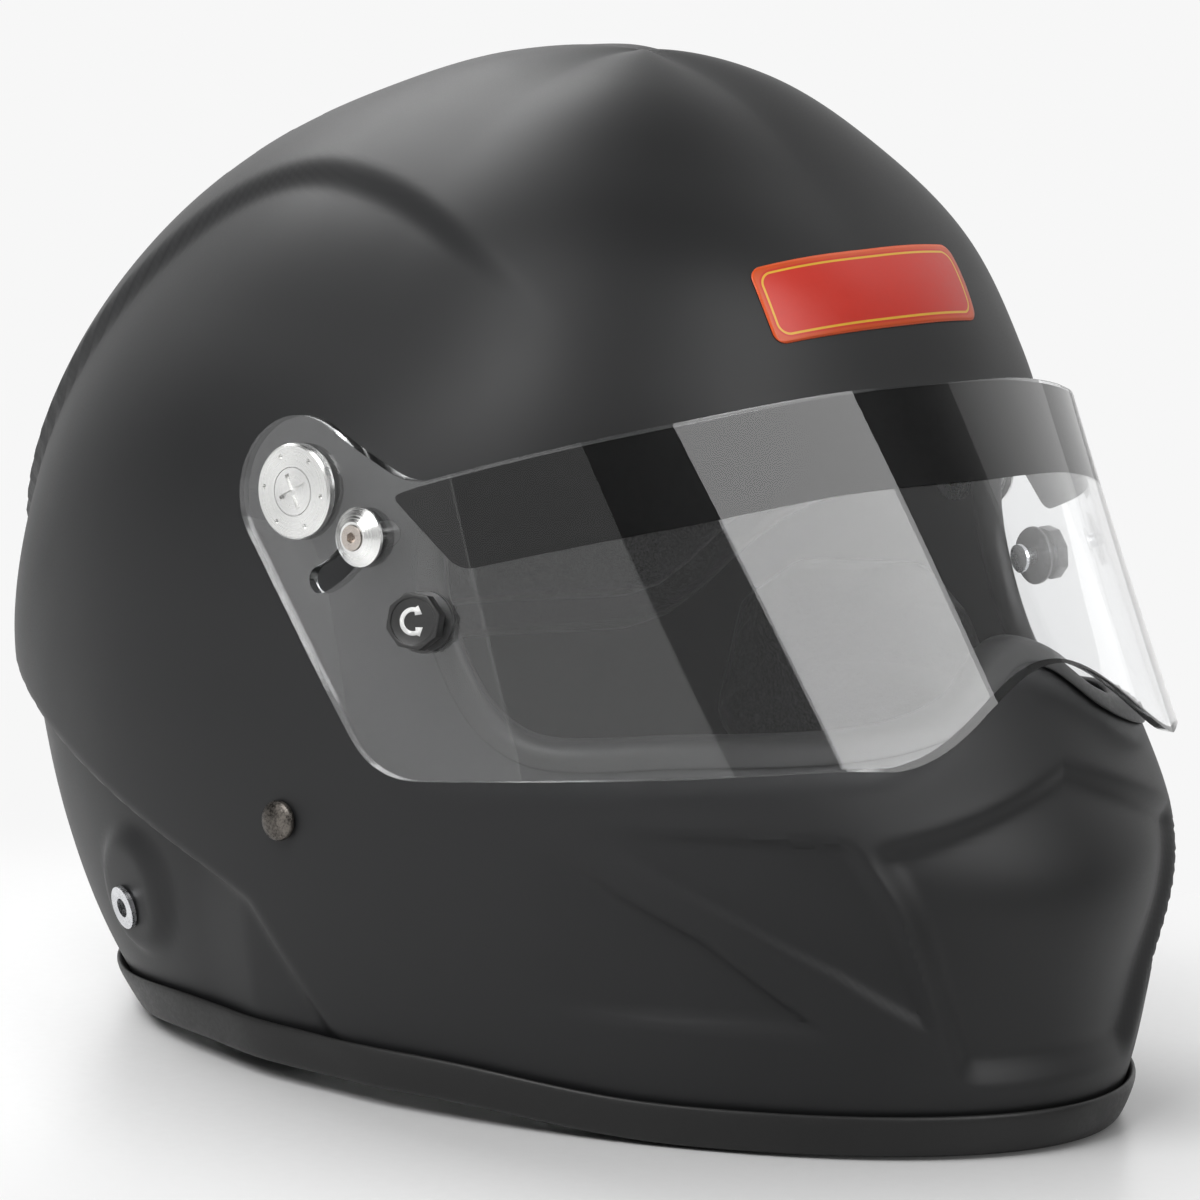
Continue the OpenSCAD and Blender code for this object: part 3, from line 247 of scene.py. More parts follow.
def eyeport_edge(steps=4):
    """The eyeport's edge as a smooth closed line of azimuth and elevation"""
    half = EYEPORT_CORNERS
    whole = [Vector(p) for p in half + [(-a, e) for a, e in half[-2:0:-1]]]
    m = len(whole)
    line = []
    for i in range(m):
        p, q, r, s = (whole[(i + k) % m] for k in (-1, 0, 1, 2))
        for k in range(steps):
            t = k / steps
            line.append(0.5 * (
                2 * q + (r - p) * t + (2 * p - 5 * q + 4 * r - s) * t * t
                + (3 * q - p - 3 * r + s) * t**3
            ))
    return line


# Mesh helpers

# Metres within which a CAD node's points are merged, and the bend up to which triangles join
MERGE_DISTANCE, JOIN_ANGLE = 2e-5, math.pi / 5
# Angles from which shading breaks at an edge, on most pieces and on the thin clear sheet
SHARP, SHEET_SHARP = 40, 30
# Subdivision of sheets and rubber
FINE_LEVELS = 2


def finished(bm, name, materials, scale=MM):
    """A new smooth object from a bmesh in millimetres, with its place in its mesh"""
    bmesh.ops.recalc_face_normals(bm, faces=bm.faces)
    bmesh.ops.scale(bm, vec=(scale,) * 3, verts=bm.verts)
    mesh = bpy.data.meshes.new(name)
    bm.to_mesh(mesh)
    bm.free()
    for material in materials:
        mesh.materials.append(material)
    for polygon in mesh.polygons:
        polygon.use_smooth = True
    piece = bpy.data.objects.new(name, mesh)
    bpy.context.scene.collection.objects.link(piece)
    return piece


def sharpen(piece, angle):
    """Marks the edges that are sharper than an angle, so that shading breaks there"""
    mesh = piece.data
    bm = bmesh.new()
    bm.from_mesh(mesh)
    limit = math.radians(angle)
    for edge in bm.edges:
        edge.smooth = not (len(edge.link_faces) == 2 and edge.calc_face_angle(0) > limit)
    bm.to_mesh(mesh)
    bm.free()


def settled(piece):
    """Applies a piece's modifiers to its mesh"""
    depsgraph = bpy.context.evaluated_depsgraph_get()
    mesh = bpy.data.meshes.new_from_object(piece.evaluated_get(depsgraph), depsgraph=depsgraph)
    old = piece.data
    piece.modifiers.clear()
    piece.data = mesh
    mesh.name = piece.name
    bpy.data.meshes.remove(old)
    return piece


def thickened(piece, depth, offset=-1):
    """Gives a sheet a wall, inside it for -1 and outside it for 1"""
    wall = piece.modifiers.new("Wall", "SOLIDIFY")
    wall.thickness = depth
    wall.offset = offset
    wall.use_even_offset = True
    return settled(piece)


def refined(piece, levels):
    """Subdivides a piece smoothly"""
    sub = piece.modifiers.new("Subdivision", "SUBSURF")
    sub.levels = sub.render_levels = levels
    return settled(piece)


def cut(piece, cutters, operation="DIFFERENCE"):
    """Cuts closed pieces out of a closed piece, or keeps what it shares with them"""
    for cutter in cutters:
        tool = piece.modifiers.new("Cut", "BOOLEAN")
        tool.operation = operation
        tool.object = cutter
        tool.solver = "EXACT"
        settled(piece)
        bpy.data.objects.remove(cutter)
    return piece


def prism(outline, place, depth, index=0, materials=()):
    """A flat outline swept by a vector; place turns each pair into a point"""
    bm = bmesh.new()
    verts = [bm.verts.new(place(*p)) for p in outline]
    face = bm.faces.new(verts)
    swept = bmesh.ops.extrude_face_region(bm, geom=[face])
    moved = [v for v in swept["geom"] if isinstance(v, bmesh.types.BMVert)]
    bmesh.ops.translate(bm, vec=depth, verts=moved)
    for f in bm.faces:
        f.material_index = index
    return finished(bm, "Cutter", materials)


def circle(centre, radius, count=48):
    """Points of a circle round a pair"""
    turns = [2 * math.pi * i / count for i in range(count)]
    return [(centre[0] + radius * math.cos(a), centre[1] + radius * math.sin(a)) for a in turns]


def rounded(corners, steps=8):
    """Points of a closed outline with an arc at each corner (x, y, radius)"""
    line = []
    n = len(corners)
    for i, (x, y, radius) in enumerate(corners):
        p = Vector((x, y))
        if radius == 0:
            line.append(p)
            continue
        u = (Vector(corners[i - 1][:2]) - p).normalized()
        v = (Vector(corners[(i + 1) % n][:2]) - p).normalized()
        half = math.acos(clamp(u.dot(v), -1, 1)) / 2
        hub = p + (u + v).normalized() * radius / math.sin(half)
        first = p + u * radius / math.tan(half) - hub
        last = p + v * radius / math.tan(half) - hub
        way = 1 if first.x * last.y - first.y * last.x > 0 else -1
        start = math.atan2(first.y, first.x)
        turn = math.pi - 2 * half
        for s in range(steps + 1):
            a = start + way * turn * s / steps
            line.append(hub + Vector((math.cos(a), math.sin(a))) * radius)
    return line


def joined(pieces):
    """Joins pieces that have the same materials into the first"""
    bm = bmesh.new()
    for piece in pieces:
        bm.from_mesh(piece.data)
    bm.to_mesh(pieces[0].data)
    bm.free()
    for piece in pieces[1:]:
        bpy.data.objects.remove(piece)
    return pieces[0]


def bevelled(piece, width, angle=50):
    """Breaks the sharp edges of a piece"""
    edge = piece.modifiers.new("Bevel", "BEVEL")
    edge.width = width * MM
    edge.segments = 2
    edge.limit_method = "ANGLE"
    edge.angle_limit = math.radians(angle)
    return settled(piece)


def cad_copy(node_name, name, materials, slot, levels=1):
    """A smoother piece made from a merged copy of a CAD node's mesh, which it replaces"""
    bm = bmesh.new()
    bm.from_mesh(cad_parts[node_name].data)
    bmesh.ops.remove_doubles(bm, verts=bm.verts, dist=MERGE_DISTANCE)
    bmesh.ops.join_triangles(
        bm, faces=bm.faces, angle_face_threshold=JOIN_ANGLE, angle_shape_threshold=math.pi
    )
    piece = refined(finished(bm, name, materials, scale=1), levels)
    return placed(piece, "helmet", slot, node_name)


def placed(piece, body, slot=None, *nodes):
    """Puts a piece on its body and hides the CAD nodes that it replaces; the slot is not used"""
    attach(piece, body)
    if nodes:
        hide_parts(*nodes)
    return piece


# Node helpers and groups


def node(tree, kind, sockets=None, **settings):
    """Adds a node; a socket's value is a number, a colour or another node's output"""
    made = tree.nodes.new(kind)
    for key, value in settings.items():
        setattr(made, key, value)
    for key, value in (sockets or {}).items():
        socket = made.inputs[key]
        if isinstance(value, bpy.types.NodeSocket):
            tree.links.new(value, socket)
        else:
            socket.default_value = value
    return made


def maths(tree, operation, *values):
    """Output of a math node"""
    return node(tree, "ShaderNodeMath", dict(enumerate(values)), operation=operation).outputs[0]


def spread(tree, value, low, high, to_low=0.0, to_high=1.0):
    """A value from one range brought smoothly to another"""
    names = ("Value", "From Min", "From Max", "To Min", "To Max")
    sockets = dict(zip(names, (value, low, high, to_low, to_high)))
    made = node(tree, "ShaderNodeMapRange", sockets, interpolation_type="SMOOTHSTEP")
    return made.outputs["Result"]


def product(tree, a, b):
    """Two values multiplied"""
    return maths(tree, "MULTIPLY", a, b)


def opposite(tree, share):
    """What a share leaves of 1"""
    return maths(tree, "SUBTRACT", 1.0, share)


def length(tree, a, b):
    """Length of a pair of values"""
    return maths(tree, "SQRT", maths(tree, "ADD", product(tree, a, a), product(tree, b, b)))


def swing(tree, value, size):
    """A value from 0 to 1 as a shift to both sides"""
    return product(tree, maths(tree, "SUBTRACT", value, 0.5), size)


def half_up(tree, wave):
    """A wave between -1 and 1 as a value from 0 to 1"""
    return product(tree, maths(tree, "ADD", wave, 1.0), 0.5)


def noise(tree, vector, scale, detail, **more):
    """A noise texture's value"""
    sockets = {"Vector": vector, "Scale": scale, "Detail": detail, **more}
    return node(tree, "ShaderNodeTexNoise", sockets).outputs["Fac"]


def colour_mix(tree, share, a, b):
    """A colour between two, at a share or a value"""
    sockets = {"Factor": share, 6: a, 7: b}
    return node(tree, "ShaderNodeMix", sockets, data_type="RGBA").outputs[2]


def new_group(name, inputs, outputs):
    """An empty node group with named sockets, its input node and its output node"""
    tree = bpy.data.node_groups.new(name, "ShaderNodeTree")
    for label, kind, value in inputs:
        socket = tree.interface.new_socket(name=label, in_out="INPUT", socket_type=kind)
        if value is not None:
            socket.default_value = value
    for label, kind in outputs:
        tree.interface.new_socket(name=label, in_out="OUTPUT", socket_type=kind)
    return tree, tree.nodes.new("NodeGroupInput"), tree.nodes.new("NodeGroupOutput")


VECTOR, FLOAT, COLOUR = "NodeSocketVector", "NodeSocketFloat", "NodeSocketColor"


def grey(value):
    """A grey as a socket's four numbers"""
    return (value, value, value, 1)


@functools.cache
def mottle_group():
    """Two sizes of noise that shift a colour and a roughness, and a fine height"""
    tree, given, result = new_group(
        "Mottled Surface",
        [
            ("Vector", VECTOR, None), ("Fine Scale", FLOAT, 1500.0), ("Broad Scale", FLOAT, 30.0),
            ("Colour", COLOUR, grey(0.1)), ("Second Colour", COLOUR, grey(0.12)),
            ("Roughness", FLOAT, 0.5), ("Roughness Spread", FLOAT, 0.1),
        ],
        [("Colour", COLOUR), ("Roughness", FLOAT), ("Height", FLOAT)],
    )
    g = given.outputs
    fine = noise(tree, g["Vector"], g["Fine Scale"], 3.0)
    broad = noise(tree, g["Vector"], g["Broad Scale"], 4.0)
    fine_share = 0.45
    parts = product(tree, fine, fine_share), product(tree, broad, 1 - fine_share)
    mask = spread(tree, maths(tree, "ADD", *parts), 0.38, 0.62)
    tree.links.new(colour_mix(tree, mask, g["Colour"], g["Second Colour"]), result.inputs["Colour"])
    shift = swing(tree, mask, g["Roughness Spread"])
    tree.links.new(maths(tree, "ADD", g["Roughness"], shift), result.inputs["Roughness"])
    tree.links.new(fine, result.inputs["Height"])
    return tree


@functools.cache
def turned_group():
    """Fine rings left by a lathe round the X axis, and a painted sheen: a share that turns with the
    angle, for lighter and darker fans in the colour
    """
    fans, roughness_swing = 2.0, 0.3
    tree, given, result = new_group(
        "Turned Face",
        [("Vector", VECTOR, None), ("Pitch", FLOAT, 0.00035), ("Roughness", FLOAT, 0.3)],
        [("Roughness", FLOAT), ("Height", FLOAT), ("Painted Sheen", FLOAT)],
    )
    g = given.outputs
    parts = node(tree, "ShaderNodeSeparateXYZ", {"Vector": g["Vector"]}).outputs
    turns = maths(tree, "DIVIDE", length(tree, parts["Y"], parts["Z"]), g["Pitch"])
    rings = node(
        tree, "ShaderNodeTexNoise", {"W": turns, "Scale": 1.0, "Detail": 4.0}, noise_dimensions="1D"
    ).outputs["Fac"]
    angle = maths(tree, "ARCTAN2", parts["Z"], parts["Y"])
    # Painted sheen: two lighter and two darker fans round the axis, set by the angle alone
    wave = maths(tree, "SINE", product(tree, angle, fans))
    tree.links.new(rings, result.inputs["Height"])
    tree.links.new(half_up(tree, wave), result.inputs["Painted Sheen"])
    shift = swing(tree, rings, roughness_swing)
    tree.links.new(maths(tree, "ADD", g["Roughness"], shift), result.inputs["Roughness"])
    return tree


@functools.cache
def pile_group():
    """Short brushed pile: a deep, soft height, and a speckled colour from the same fibre noise, with
    painted shade in its low parts and painted light on its tips, shifted by broad random drift
    """
    fibre_height, clump_height, clump_scale = 0.7, 0.5, 0.35
    drift_scale, drift_swing = 60.0, 0.5
    tree, given, result = new_group(
        "Brushed Pile",
        [
            ("Vector", VECTOR, None), ("Scale", FLOAT, 900.0),
            ("Dark", COLOUR, grey(0.05)), ("Light", COLOUR, grey(0.3)),
        ],
        [("Colour", COLOUR), ("Height", FLOAT)],
    )
    g = given.outputs
    fibre = noise(tree, g["Vector"], g["Scale"], 5.0, Roughness=0.75)
    drift = noise(tree, g["Vector"], drift_scale, 2.0)
    cells = {"Vector": g["Vector"], "Scale": product(tree, g["Scale"], clump_scale)}
    clump = node(tree, "ShaderNodeTexVoronoi", cells).outputs["Distance"]
    height = maths(
        tree, "ADD", product(tree, fibre, fibre_height), product(tree, clump, clump_height)
    )
    # Painted shade and light: the colour follows the fibre noise of the height, dark in the hollows
    # and light at the tips
    share = maths(tree, "ADD", spread(tree, fibre, 0.35, 0.7), swing(tree, drift, drift_swing))
    tree.links.new(colour_mix(tree, share, g["Dark"], g["Light"]), result.inputs["Colour"])
    tree.links.new(height, result.inputs["Height"])
    return tree


@functools.cache
def weave_group():
    """Ribbed webbing: threads across and along, with painted shade in the gap between them and
    painted light on the raised threads
    """
    across_share, along_share = 0.16, 0.1
    tree, given, result = new_group(
        "Webbing Weave",
        [
            ("Vector", VECTOR, None), ("Pitch", FLOAT, 0.0011),
            ("Dark", COLOUR, grey(0.01)), ("Light", COLOUR, grey(0.05)),
        ],
        [("Colour", COLOUR), ("Height", FLOAT)],
    )
    g = given.outputs
    parts = node(tree, "ShaderNodeSeparateXYZ", {"Vector": g["Vector"]}).outputs

    def ripple(value, share):
        turns = maths(tree, "DIVIDE", value, product(tree, g["Pitch"], share))
        return maths(tree, "SINE", turns)

    across = ripple(parts["Y"], across_share)
    along = ripple(maths(tree, "ADD", parts["X"], parts["Z"]), along_share)
    height = half_up(tree, product(tree, across, along))
    # Painted shade and light: the colour follows the height, dark in the gaps and light on the
    # threads
    tree.links.new(colour_mix(tree, height, g["Dark"], g["Light"]), result.inputs["Colour"])
    tree.links.new(height, result.inputs["Height"])
    return tree


def new_material(name):
    """A material with its tree and its Principled shader"""
    material = bpy.data.materials.new(name)
    material.use_nodes = True
    tree = material.node_tree
    return material, tree, tree.nodes["Principled BSDF"]


def coordinates(tree, centre=(0, 0, 0)):
    """Object coordinates centred on a place, in metres"""
    where = node(tree, "ShaderNodeTexCoord").outputs["Object"]
    sockets = {"Vector": where, "Location": [-c for c in centre]}
    return node(tree, "ShaderNodeMapping", sockets).outputs["Vector"]


def raised(tree, shader, height, distance, strength=1.0):
    """Bumps the shader by a height"""
    sockets = {"Height": height, "Distance": distance, "Strength": strength}
    bump = node(tree, "ShaderNodeBump", sockets)
    tree.links.new(bump.outputs["Normal"], shader.inputs["Normal"])


def dressed_by(tree, shader, kind, sockets):
    """Puts a node group's colour and roughness on the shader, and gives back its outputs"""
    outputs = node(tree, "ShaderNodeGroup", sockets, node_tree=kind).outputs
    if "Colour" in outputs:
        tree.links.new(outputs["Colour"], shader.inputs["Base Color"])
    if "Roughness" in outputs:
        tree.links.new(outputs["Roughness"], shader.inputs["Roughness"])
    return outputs


def lighter(colour, share):
    """A colour times a share, as a socket's four numbers"""
    return (*[c * share for c in colour], 1)


def set_plain(shader, **values):
    """Numbers and colours that are the same all over the surface"""
    for key, value in values.items():
        shader.inputs[key.replace("_", " ")].default_value = value


def mottled(
    name, colour, second, roughness, roughness_spread=0.1, fine=1500.0, broad=30.0, bump=2e-5,
    **plain,
):
    """A moulded, painted or coated surface"""
    material, tree, shader = new_material(name)
    outputs = dressed_by(tree, shader, mottle_group(), {
        "Vector": coordinates(tree), "Fine Scale": fine, "Broad Scale": broad,
        "Colour": (*colour, 1), "Second Colour": (*second, 1),
        "Roughness": roughness, "Roughness Spread": roughness_spread,
    })
    raised(tree, shader, outputs["Height"], bump)
    set_plain(shader, **plain)
    return material


def turned_metal(name, centre, colour, roughness=0.28, pitch=0.00035, bump=1.2e-5):
    """Aluminium faced on a lathe, with its rings round a line along X and a painted sheen that
    darkens its colour in fans
    """
    material, tree, shader = new_material(name)
    outputs = dressed_by(tree, shader, turned_group(), {
        "Vector": coordinates(tree, centre), "Pitch": pitch, "Roughness": roughness,
    })
    # Painted sheen: the colour falls to 0.86 of itself in fans round the axis
    tone = colour_mix(tree, outputs["Painted Sheen"], lighter(colour, 0.86), (*colour, 1))
    tree.links.new(tone, shader.inputs["Base Color"])
    raised(tree, shader, outputs["Height"], bump)
    set_plain(shader, Metallic=1.0, Anisotropic=0.6)
    return material


def brushed_pile(name, colour, scale=1500.0, depth=0.0003):
    """Short velvet: painted shade between its fibres and painted light at their tips"""
    material, tree, shader = new_material(name)
    # Dark is the painted shade between the fibres and Light the painted light on their tips
    outputs = dressed_by(tree, shader, pile_group(), {
        "Vector": coordinates(tree), "Scale": scale, "Dark": lighter(colour, 0.25),
        "Light": lighter(colour, 1.5),
    })
    raised(tree, shader, outputs["Height"], depth, 0.8)
    set_plain(
        shader, Roughness=0.95, Sheen_Weight=0.35, Sheen_Roughness=0.4, Specular_IOR_Level=0.2
    )
    return material


def webbing(name, colour, depth=0.0004):
    """Woven strap, with painted shade in the gaps of its weave and painted light on its threads"""
    material, tree, shader = new_material(name)
    # Dark is the painted shade in the weave's gaps and Light the painted light on its threads
    outputs = dressed_by(tree, shader, weave_group(), {
        "Vector": coordinates(tree), "Dark": lighter(colour, 0.4), "Light": lighter(colour, 1.6),
    })
    raised(tree, shader, outputs["Height"], depth)
    set_plain(shader, Roughness=0.7, Specular_IOR_Level=0.35)
    return material


def clear_plastic(name, tint, roughness, ior=1.49, haze=0.025, shade=0.93):
    """Clear sheet that lamps reach through: rays to lamps see it as a pale filter"""
    material, tree, shader = new_material(name)
    patches = noise(tree, coordinates(tree), 14.0, 3.0)
    wiped = spread(tree, patches, 0.35, 0.75, roughness, roughness + haze)
    tree.links.new(wiped, shader.inputs["Roughness"])
    set_plain(shader, Base_Color=(*tint, 1), IOR=ior, Transmission_Weight=1.0)
    open_side = node(tree, "ShaderNodeBsdfTransparent", {"Color": lighter(tint, shade)})
    path = node(tree, "ShaderNodeLightPath")
    mix = node(tree, "ShaderNodeMixShader", {"Fac": path.outputs["Is Shadow Ray"]})
    tree.links.new(shader.outputs["BSDF"], mix.inputs[1])
    tree.links.new(open_side.outputs["BSDF"], mix.inputs[2])
    tree.links.new(mix.outputs["Shader"], tree.nodes["Material Output"].inputs["Surface"])
    return material


# Settings


class HelmetShellSettings(bpy.types.PropertyGroup):
    """Faces of the shell, and colours of paint and rubber"""

    columns: bpy.props.IntProperty(
        name="Columns", description="Faces round the shell", default=384, min=64, max=400
    )
    rows: bpy.props.IntProperty(
        name="Rows", description="Faces from rim to crown", default=192, min=48, max=200
    )
    paint: bpy.props.FloatVectorProperty(
        name="Paint", description="Colour of the matte paint", subtype="COLOR", size=3,
        default=(0.011, 0.0113, 0.012),
    )
    rubber: bpy.props.FloatVectorProperty(
        name="Rubber", description="Colour of trim and gasket", subtype="COLOR", size=3,
        default=(0.012, 0.012, 0.012),
    )


class HelmetShieldSettings(bpy.types.PropertyGroup):
    """Sheet and strip of the shield"""

    thickness: bpy.props.FloatProperty(
        name="Thickness", description="Thickness of the clear sheet", subtype="DISTANCE",
        default=0.003, precision=4,
    )
    tint: bpy.props.FloatVectorProperty(
        name="Tint", description="Colour of the clear sheet", subtype="COLOR", size=3,
        default=(0.96, 0.965, 0.97),
    )
    strip: bpy.props.FloatVectorProperty(
        name="Strip", description="Colour of the strip along the top", subtype="COLOR", size=3,
        default=(0.004, 0.004, 0.004),
    )


class HelmetLiningSettings(bpy.types.PropertyGroup):
    """Colours of the linings and the strap"""

    pile: bpy.props.FloatVectorProperty(
        name="Pile", description="Colour of the lining's pile", subtype="COLOR", size=3,
        default=(0.055, 0.055, 0.056),
    )
    foam: bpy.props.FloatVectorProperty(
        name="Foam", description="Colour of the impact foam", subtype="COLOR", size=3,
        default=(0.012, 0.012, 0.013),
    )
    strap: bpy.props.FloatVectorProperty(
        name="Strap", description="Colour of the chin strap", subtype="COLOR", size=3,
        default=(0.03, 0.03, 0.03),
    )


class HelmetHardwareSettings(bpy.types.PropertyGroup):
    """Colours of the discs and the label"""

    aluminium: bpy.props.FloatVectorProperty(
        name="Aluminium", description="Colour of the turned discs", subtype="COLOR", size=3,
        default=(0.78, 0.78, 0.77),
    )
    label: bpy.props.FloatVectorProperty(
        name="Label", description="Colour of the plain label", subtype="COLOR", size=3,
        default=(0.72, 0.03, 0.012),
    )


class HelmetStudioSettings(bpy.types.PropertyGroup):
    """Camera distance and ambient light"""

    distance: bpy.props.FloatProperty(
        name="Distance", description="From the camera to the helmet", subtype="DISTANCE",
        default=2.0,
    )
    ambient: bpy.props.FloatProperty(
        name="Ambient", description="Light from all round", default=0.35
    )


# Operators


def face_of_shell(bm, columns, rows, out):
    """A sphere drawn out to the shell's form or inside it, open at the rim"""
    sphere = bmesh.ops.create_uvsphere(bm, u_segments=columns, v_segments=rows, radius=1)["verts"]
    pole = [v for v in sphere if v.co.z < -NEAR_POLE]
    verts = [v for v in sphere if v not in pole]
    bmesh.ops.delete(bm, geom=pole, context="VERTS")
    lowest = -90 + 180 / rows
    rim = {}
    for v in verts:
        column = round(math.degrees(math.atan2(v.co.x, -v.co.y)), 4)
        az = column - COLUMN_GATHER * math.sin(math.radians(column))
        if column not in rim:
            rim[column] = rim_elevation(az, TRIM_BASE)
        row = math.degrees(math.asin(clamp(v.co.z, -1, 1)))
        share = clamp((row - lowest) / (90 - lowest), 0, 1)
        v.co = skin(az, rim[column] + (90 - rim[column]) * share**ROW_GATHER, out)


def shell_mesh(columns, rows):
    """The painted shell, with a coarser face inside, joined at the rim"""
    bm = bmesh.new()
    face_of_shell(bm, columns, rows, 0)
    face_of_shell(bm, columns // INNER_COARSENESS, rows // INNER_COARSENESS, -SHELL_WALL)
    rims = [e for e in bm.edges if e.is_boundary]
    bmesh.ops.bridge_loops(bm, edges=rims)
    return bm


def cone_cutter(edge, hub, depths):
    """A closed wedge through the shell inside an outline of azimuth and elevation"""
    bm = bmesh.new()
    hub = Vector(hub)
    count = len(edge)
    pairs = [(i, (i + 1) % count) for i in range(count)]
    outlines = []
    for out in depths:
        rings = [
            [bm.verts.new(skin(*hub.lerp(corner, share), out, plain=True)) for corner in edge]
            for share in CUTTER_SHARES
        ]
        for a, b in zip(rings, rings[1:]):
            for i, k in pairs:
                bm.faces.new((a[i], a[k], b[k], b[i]))
        tip = bm.verts.new(skin(*hub, out, plain=True))
        for i, k in pairs:
            bm.faces.new((rings[-1][i], rings[-1][k], tip))
        outlines.append(rings[0])
    outer, inner = outlines
    for i, k in pairs:
        bm.faces.new((outer[i], outer[k], inner[k], inner[i]))
    return finished(bm, "Cutter", [])


def vent_edge(el):
    """The long outline of a vent window at the back, as azimuth and elevation"""
    return [
        Vector((180 + w * (1 - k / 4) * VENT_HALF, el + w * VENT_OPENING))
        for w in (-1, 1) for k in range(9)
    ]


def stop_place(lift=0.0):
    """Place of the stop in side view, or where the slot ends after a lift of the shield"""
    a = math.radians(180 + STOP_ANGLE + lift)
    return PIVOT + Vector((math.cos(a), math.sin(a))) * STOP_RADIUS


def along_x(outline, x0, x1, materials=(), index=1):
    """An outline in side view swept from one distance to another"""
    return prism(
        outline, lambda y, z: Vector((x0, y, z)), (x1 - x0, 0, 0), index=index, materials=materials
    )


class HELMET_OT_shell(bpy.types.Operator):
    """Builds the painted shell with its eyeport and vents"""

    bl_idname = "helmet.shell"
    bl_label = "Shell"

    def execute(self, context):
        s = context.scene.helmet_shell
        dark = tuple(s.paint)
        paint = mottled(
            "Matte Black Paint", dark, [c * 1.12 for c in dark], roughness=0.5,
            roughness_spread=0.05, fine=2600.0, broad=18.0, bump=6e-6, Specular_IOR_Level=0.32,
        )
        piece = finished(shell_mesh(s.columns, s.rows), "Shell_Paint", [paint])
        cut(piece, [
            cone_cutter(eyeport_edge(), EYEPORT_HUB, EYEPORT_CUT),
            *(cone_cutter(vent_edge(el), (180, el), VENT_CUT) for el in VENTS),
        ])
        holes = ((PIVOT, PIVOT_HOLE), (stop_place(), STOP_HOLE), (RIVET, RIVET_HOLE))
        for side in (-1, 1):
            start, end = side * DRILL_START, side * (DRILL_START + DRILL_DEPTH)
            for spot, radius in holes:
                cut(piece, [along_x(circle(spot, radius, 32), start, end, index=0)])
        sharpen(piece, SHARP)
        placed(piece, "helmet", "shell_finish", "shell")
        return {"FINISHED"}


class HELMET_OT_rubber(bpy.types.Operator):
    """Builds the rim trim and the eyeport gasket"""

    bl_idname = "helmet.rubber"
    bl_label = "Rim Trim and Gasket"

    def execute(self, context):
        colour = tuple(context.scene.helmet_shell.rubber)
        rubber = mottled(
            "Satin Rubber", colour, [c * 1.25 for c in colour], roughness=0.46,
            roughness_spread=0.12, fine=900.0, broad=45.0, bump=1.5e-5, Specular_IOR_Level=0.3,
        )
        cad_copy("rim_trim", "Rim_Trim_Rubber", [rubber], "rubber", levels=FINE_LEVELS)
        cad_copy("eyeport_gasket", "Eyeport_Gasket_Rubber", [rubber], "rubber", levels=FINE_LEVELS)
        return {"FINISHED"}


# Shield, in millimetres

# The sheet's outer face at pivot height: half its width, where its straight sides end ahead, and
# its run from there to the nose, which grows faster than the width where the sheet is offset
SHIELD_WALL = 3
RUN_GROWTH = 1.15
SHIELD_HALF = 123.2 + SHIELD_WALL
SHIELD_RUN = 98.6 + SHIELD_WALL * RUN_GROWTH
SHEET_START = -24.5
# How these change with height, and the roundness of the sheet seen from above
SHEET_LEAN, SHEET_SHIFT, SHEET_RAKE, SHEET_POWER = 0.08, 0.1, 0.514, 1.79
# Ends of the sheet before its outline is cut: behind, above and below
SHEET_END = PIVOT.x + 36
SHEET_TOP, SHEET_LOW = 192, 78
SHEET_ROWS = 13
SIDE_SHARES = (0.25, 0.5, 0.75, 1)
# Corners of the outline in side view, each with its radius, and the lobe round the pivot
SHIELD_TOP = [(-44.5, 157.5, 12), (-91, 176.5, 60), (-108, 184.5, 20)]
SHIELD_FOOT = [(-139, 97, 30), (-115, 93.8, 40), (-46, 86, 22)]
SHIELD_FRONT = -220
LOBE_RADIUS, LOBE_STEPS = 18.5, 40
# Notch over the nose, in front view
NOSE_HALF, NOSE_RISE, NOSE_STEP = 62, 23, 3.1
NOSE_FOOT = SHIELD_FOOT[0][1] - 0.4
NOSE_DEPTH = 30
# Strip along the top: its gap to the sheet's edge, its lower corners and its thickness
FILM_MARGIN = 0.8
FILM_FOOT = [(-39, 154, 1.2), (-58, 138, 6), (-98, 152, 60), (-117, 160.5, 30), (-140, 162, 100)]
FILM_CORNER = 1.5
FILM_OUT = 0.4
# Half width of the stop's slot, hole of a post's screw, and how far cutters reach
SLOT_HALF = 3.4
POST_HOLE, POST_HOLE_REACH = 2.15, 10
CUT_REACH, CUT_SIDE, CUT_AHEAD = 150, 90, -230


def sheet_sizes(z, out=0.0):
    """Half width of the sheet at a height, where its straight sides end, and its run from there"""
    over = z - PIVOT.y
    return (
        SHIELD_HALF - SHEET_LEAN * over + out, SHEET_START + SHEET_SHIFT * over,
        SHIELD_RUN - SHEET_RAKE * over + out * RUN_GROWTH,
    )


def sheet_at(turn, z, out=0.0):
    """Point of the shield's outer face at an angle round it, or above it by out"""
    half, start, run = sheet_sizes(z, out)
    a = math.radians(turn)
    c, s = math.cos(a), max(math.sin(a), 0)
    power = 2 / SHEET_POWER
    return Vector((math.copysign(half * abs(c) ** power, c), start - run * s**power, z))


def sheet_x(y, z):
    """Distance of the shield's outer face from the middle plane at a place in side view"""
    half, start, run = sheet_sizes(z)
    u = max((start - y) / run, 0)
    return half * (1 - u**SHEET_POWER) ** (1 / SHEET_POWER)


